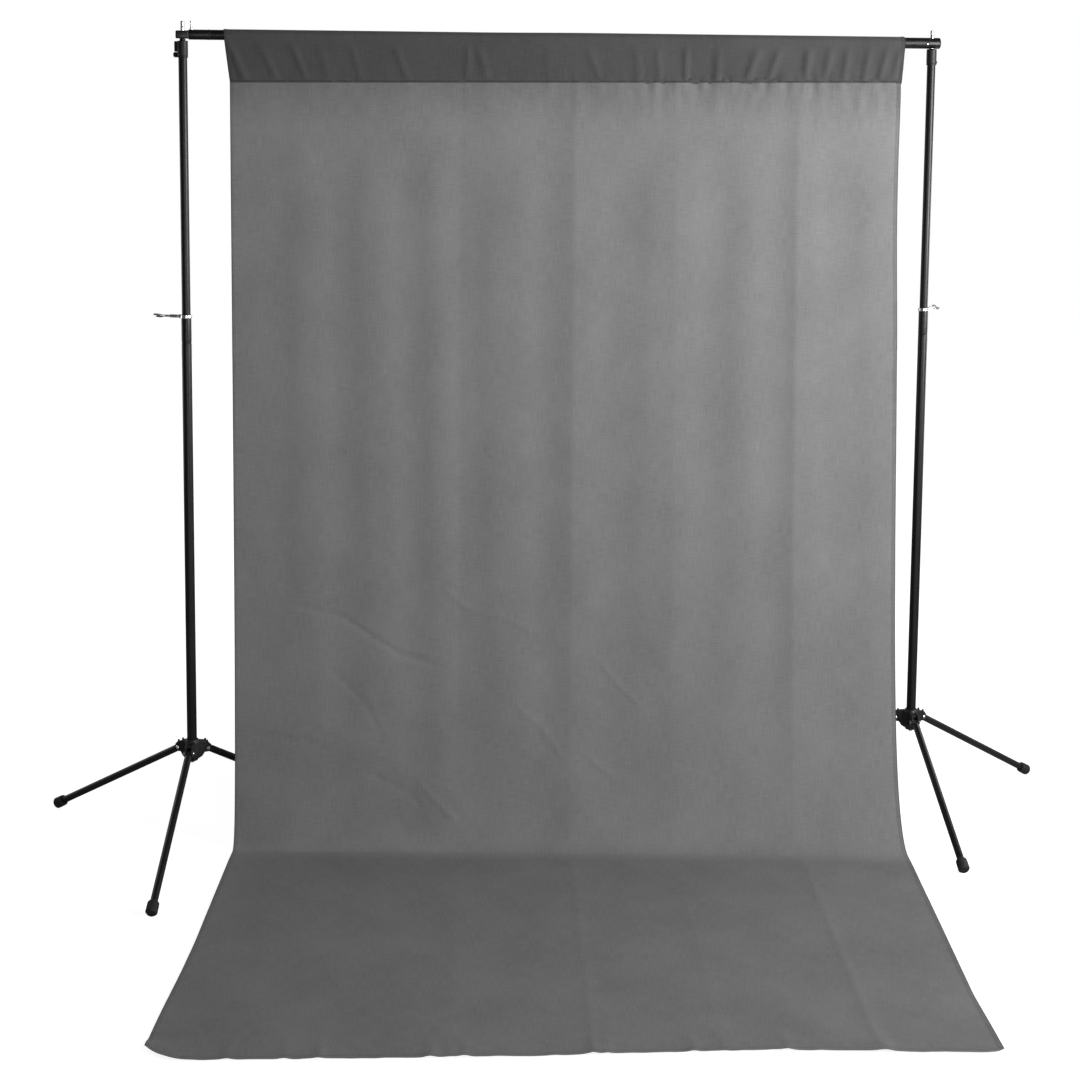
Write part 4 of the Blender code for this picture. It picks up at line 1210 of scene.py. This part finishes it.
def stitches(name, line, normals, pitch, body):
    """A run of stitches along a line of points on the cloth."""
    steps = np.linalg.norm(np.diff(line, axis=0), axis=1)
    length = np.concatenate([[0], np.cumsum(steps)])
    shapes = []
    for place in np.arange(pitch, length[-1] - pitch, pitch):
        centre = [np.interp(place, length, line[:, k]) for k in range(3)]
        out = Vector([np.interp(place, length, normals[:, k]) for k in range(3)]).normalized()
        ahead = Vector([np.interp(place + 0.001, length, line[:, k]) for k in range(3)])
        along = (ahead - Vector(centre)).normalized()
        shapes.append(stitch_shape(Vector(centre), along, out, pitch * 0.74))
    run = loose_object(name, joined(*shapes))
    run.data.materials.append(FINISHES["cloth_thread"])
    run.data.shade_smooth()
    if body:
        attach(run, body)
    return run


def show_cloth():
    drape = Drape()
    lie = drape.normals(drape.points)
    relief = relief_of(drape)[:, :, None]
    offset = np.array((ORIGIN.x, ORIGIN.y, 0))
    inner = drape.points + lie * relief + offset
    outer = drape.points + lie * (relief + CLOTH_DEPTH) + offset
    inner[:, :, 2] = np.maximum(inner[:, :, 2], 0.0)
    outer[:, :, 2] = np.maximum(outer[:, :, 2], CLOTH_DEPTH)
    normals = drape.normals(outer)
    hem, split = drape.marks["hem"], drape.marks["split"]
    last = len(drape.rows) - 1
    pocket = cloth_piece("rod_pocket_cloth", drape, inner, outer, normals, 0, hem, "pocket_cloth")
    upper = cloth_piece("upper_cloth", drape, inner, outer, normals, hem, split, "hung_cloth")
    lower = cloth_piece("lower_cloth", drape, inner, outer, normals, split, last, "hung_cloth")
    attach(pocket, "head")
    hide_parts("rod_pocket")
    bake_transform(upper)
    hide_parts("backdrop_upper")
    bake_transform(lower)
    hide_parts("backdrop_lower", "backdrop_sweep")
    hem_run = stitches("hem_stitches", outer[hem], normals[hem], 0.0032, "head")
    front = last - 3
    front_run = stitches("front_stitches", outer[front], normals[front], 0.0036, "left_base")
    pieces = (("pocket", 0, hem), ("upper", hem, split), ("lower", split, last))
    print("cloth lengths", {n: round(float(drape.length[b] - drape.length[a]), 4) for n, a, b in pieces})


add_camera()
add_world()
add_floor()
add_softbox("key", (2.2, -1.9, 1.75), (-0.3, 0.0, 2.5), 1.4, 148)
add_softbox("fill", (-0.3, -5.6, 0.9), (0.0, 0.0, 0.8), 1.6, 66)
add_softbox("left_rim", (-1.9, 0.7, 1.1), (-0.85, 0.0, 1.2), 0.9, 5)
add_softbox("right_rim", (1.8, 0.5, 1.1), (0.85, 0.0, 1.2), 0.9, 9)
bpy.context.scene.view_settings.view_transform = "Standard"

FINISHES["black_paint"] = paint_material()
FINISHES["black_plastic"] = plastic_material()
FINISHES["black_rubber"] = rubber_material()
FINISHES["chrome"] = chrome_material()
FINISHES["hung_cloth"] = cloth_material("woven_grey_cloth", 0.160)
# The pocket's darker grey is painted shade: its two layers let less light through from behind.
FINISHES["pocket_cloth"] = cloth_material("woven_grey_cloth_double_shaded", 0.067)
FINISHES["cloth_thread"] = cloth_material("sewing_thread", 0.080)

for each_side in SIDES:
    show_column(each_side)
    show_clamps(each_side)
    for each_leg in LEGS:
        show_leg(each_side, each_leg)
show_crossbar()
show_cloth()
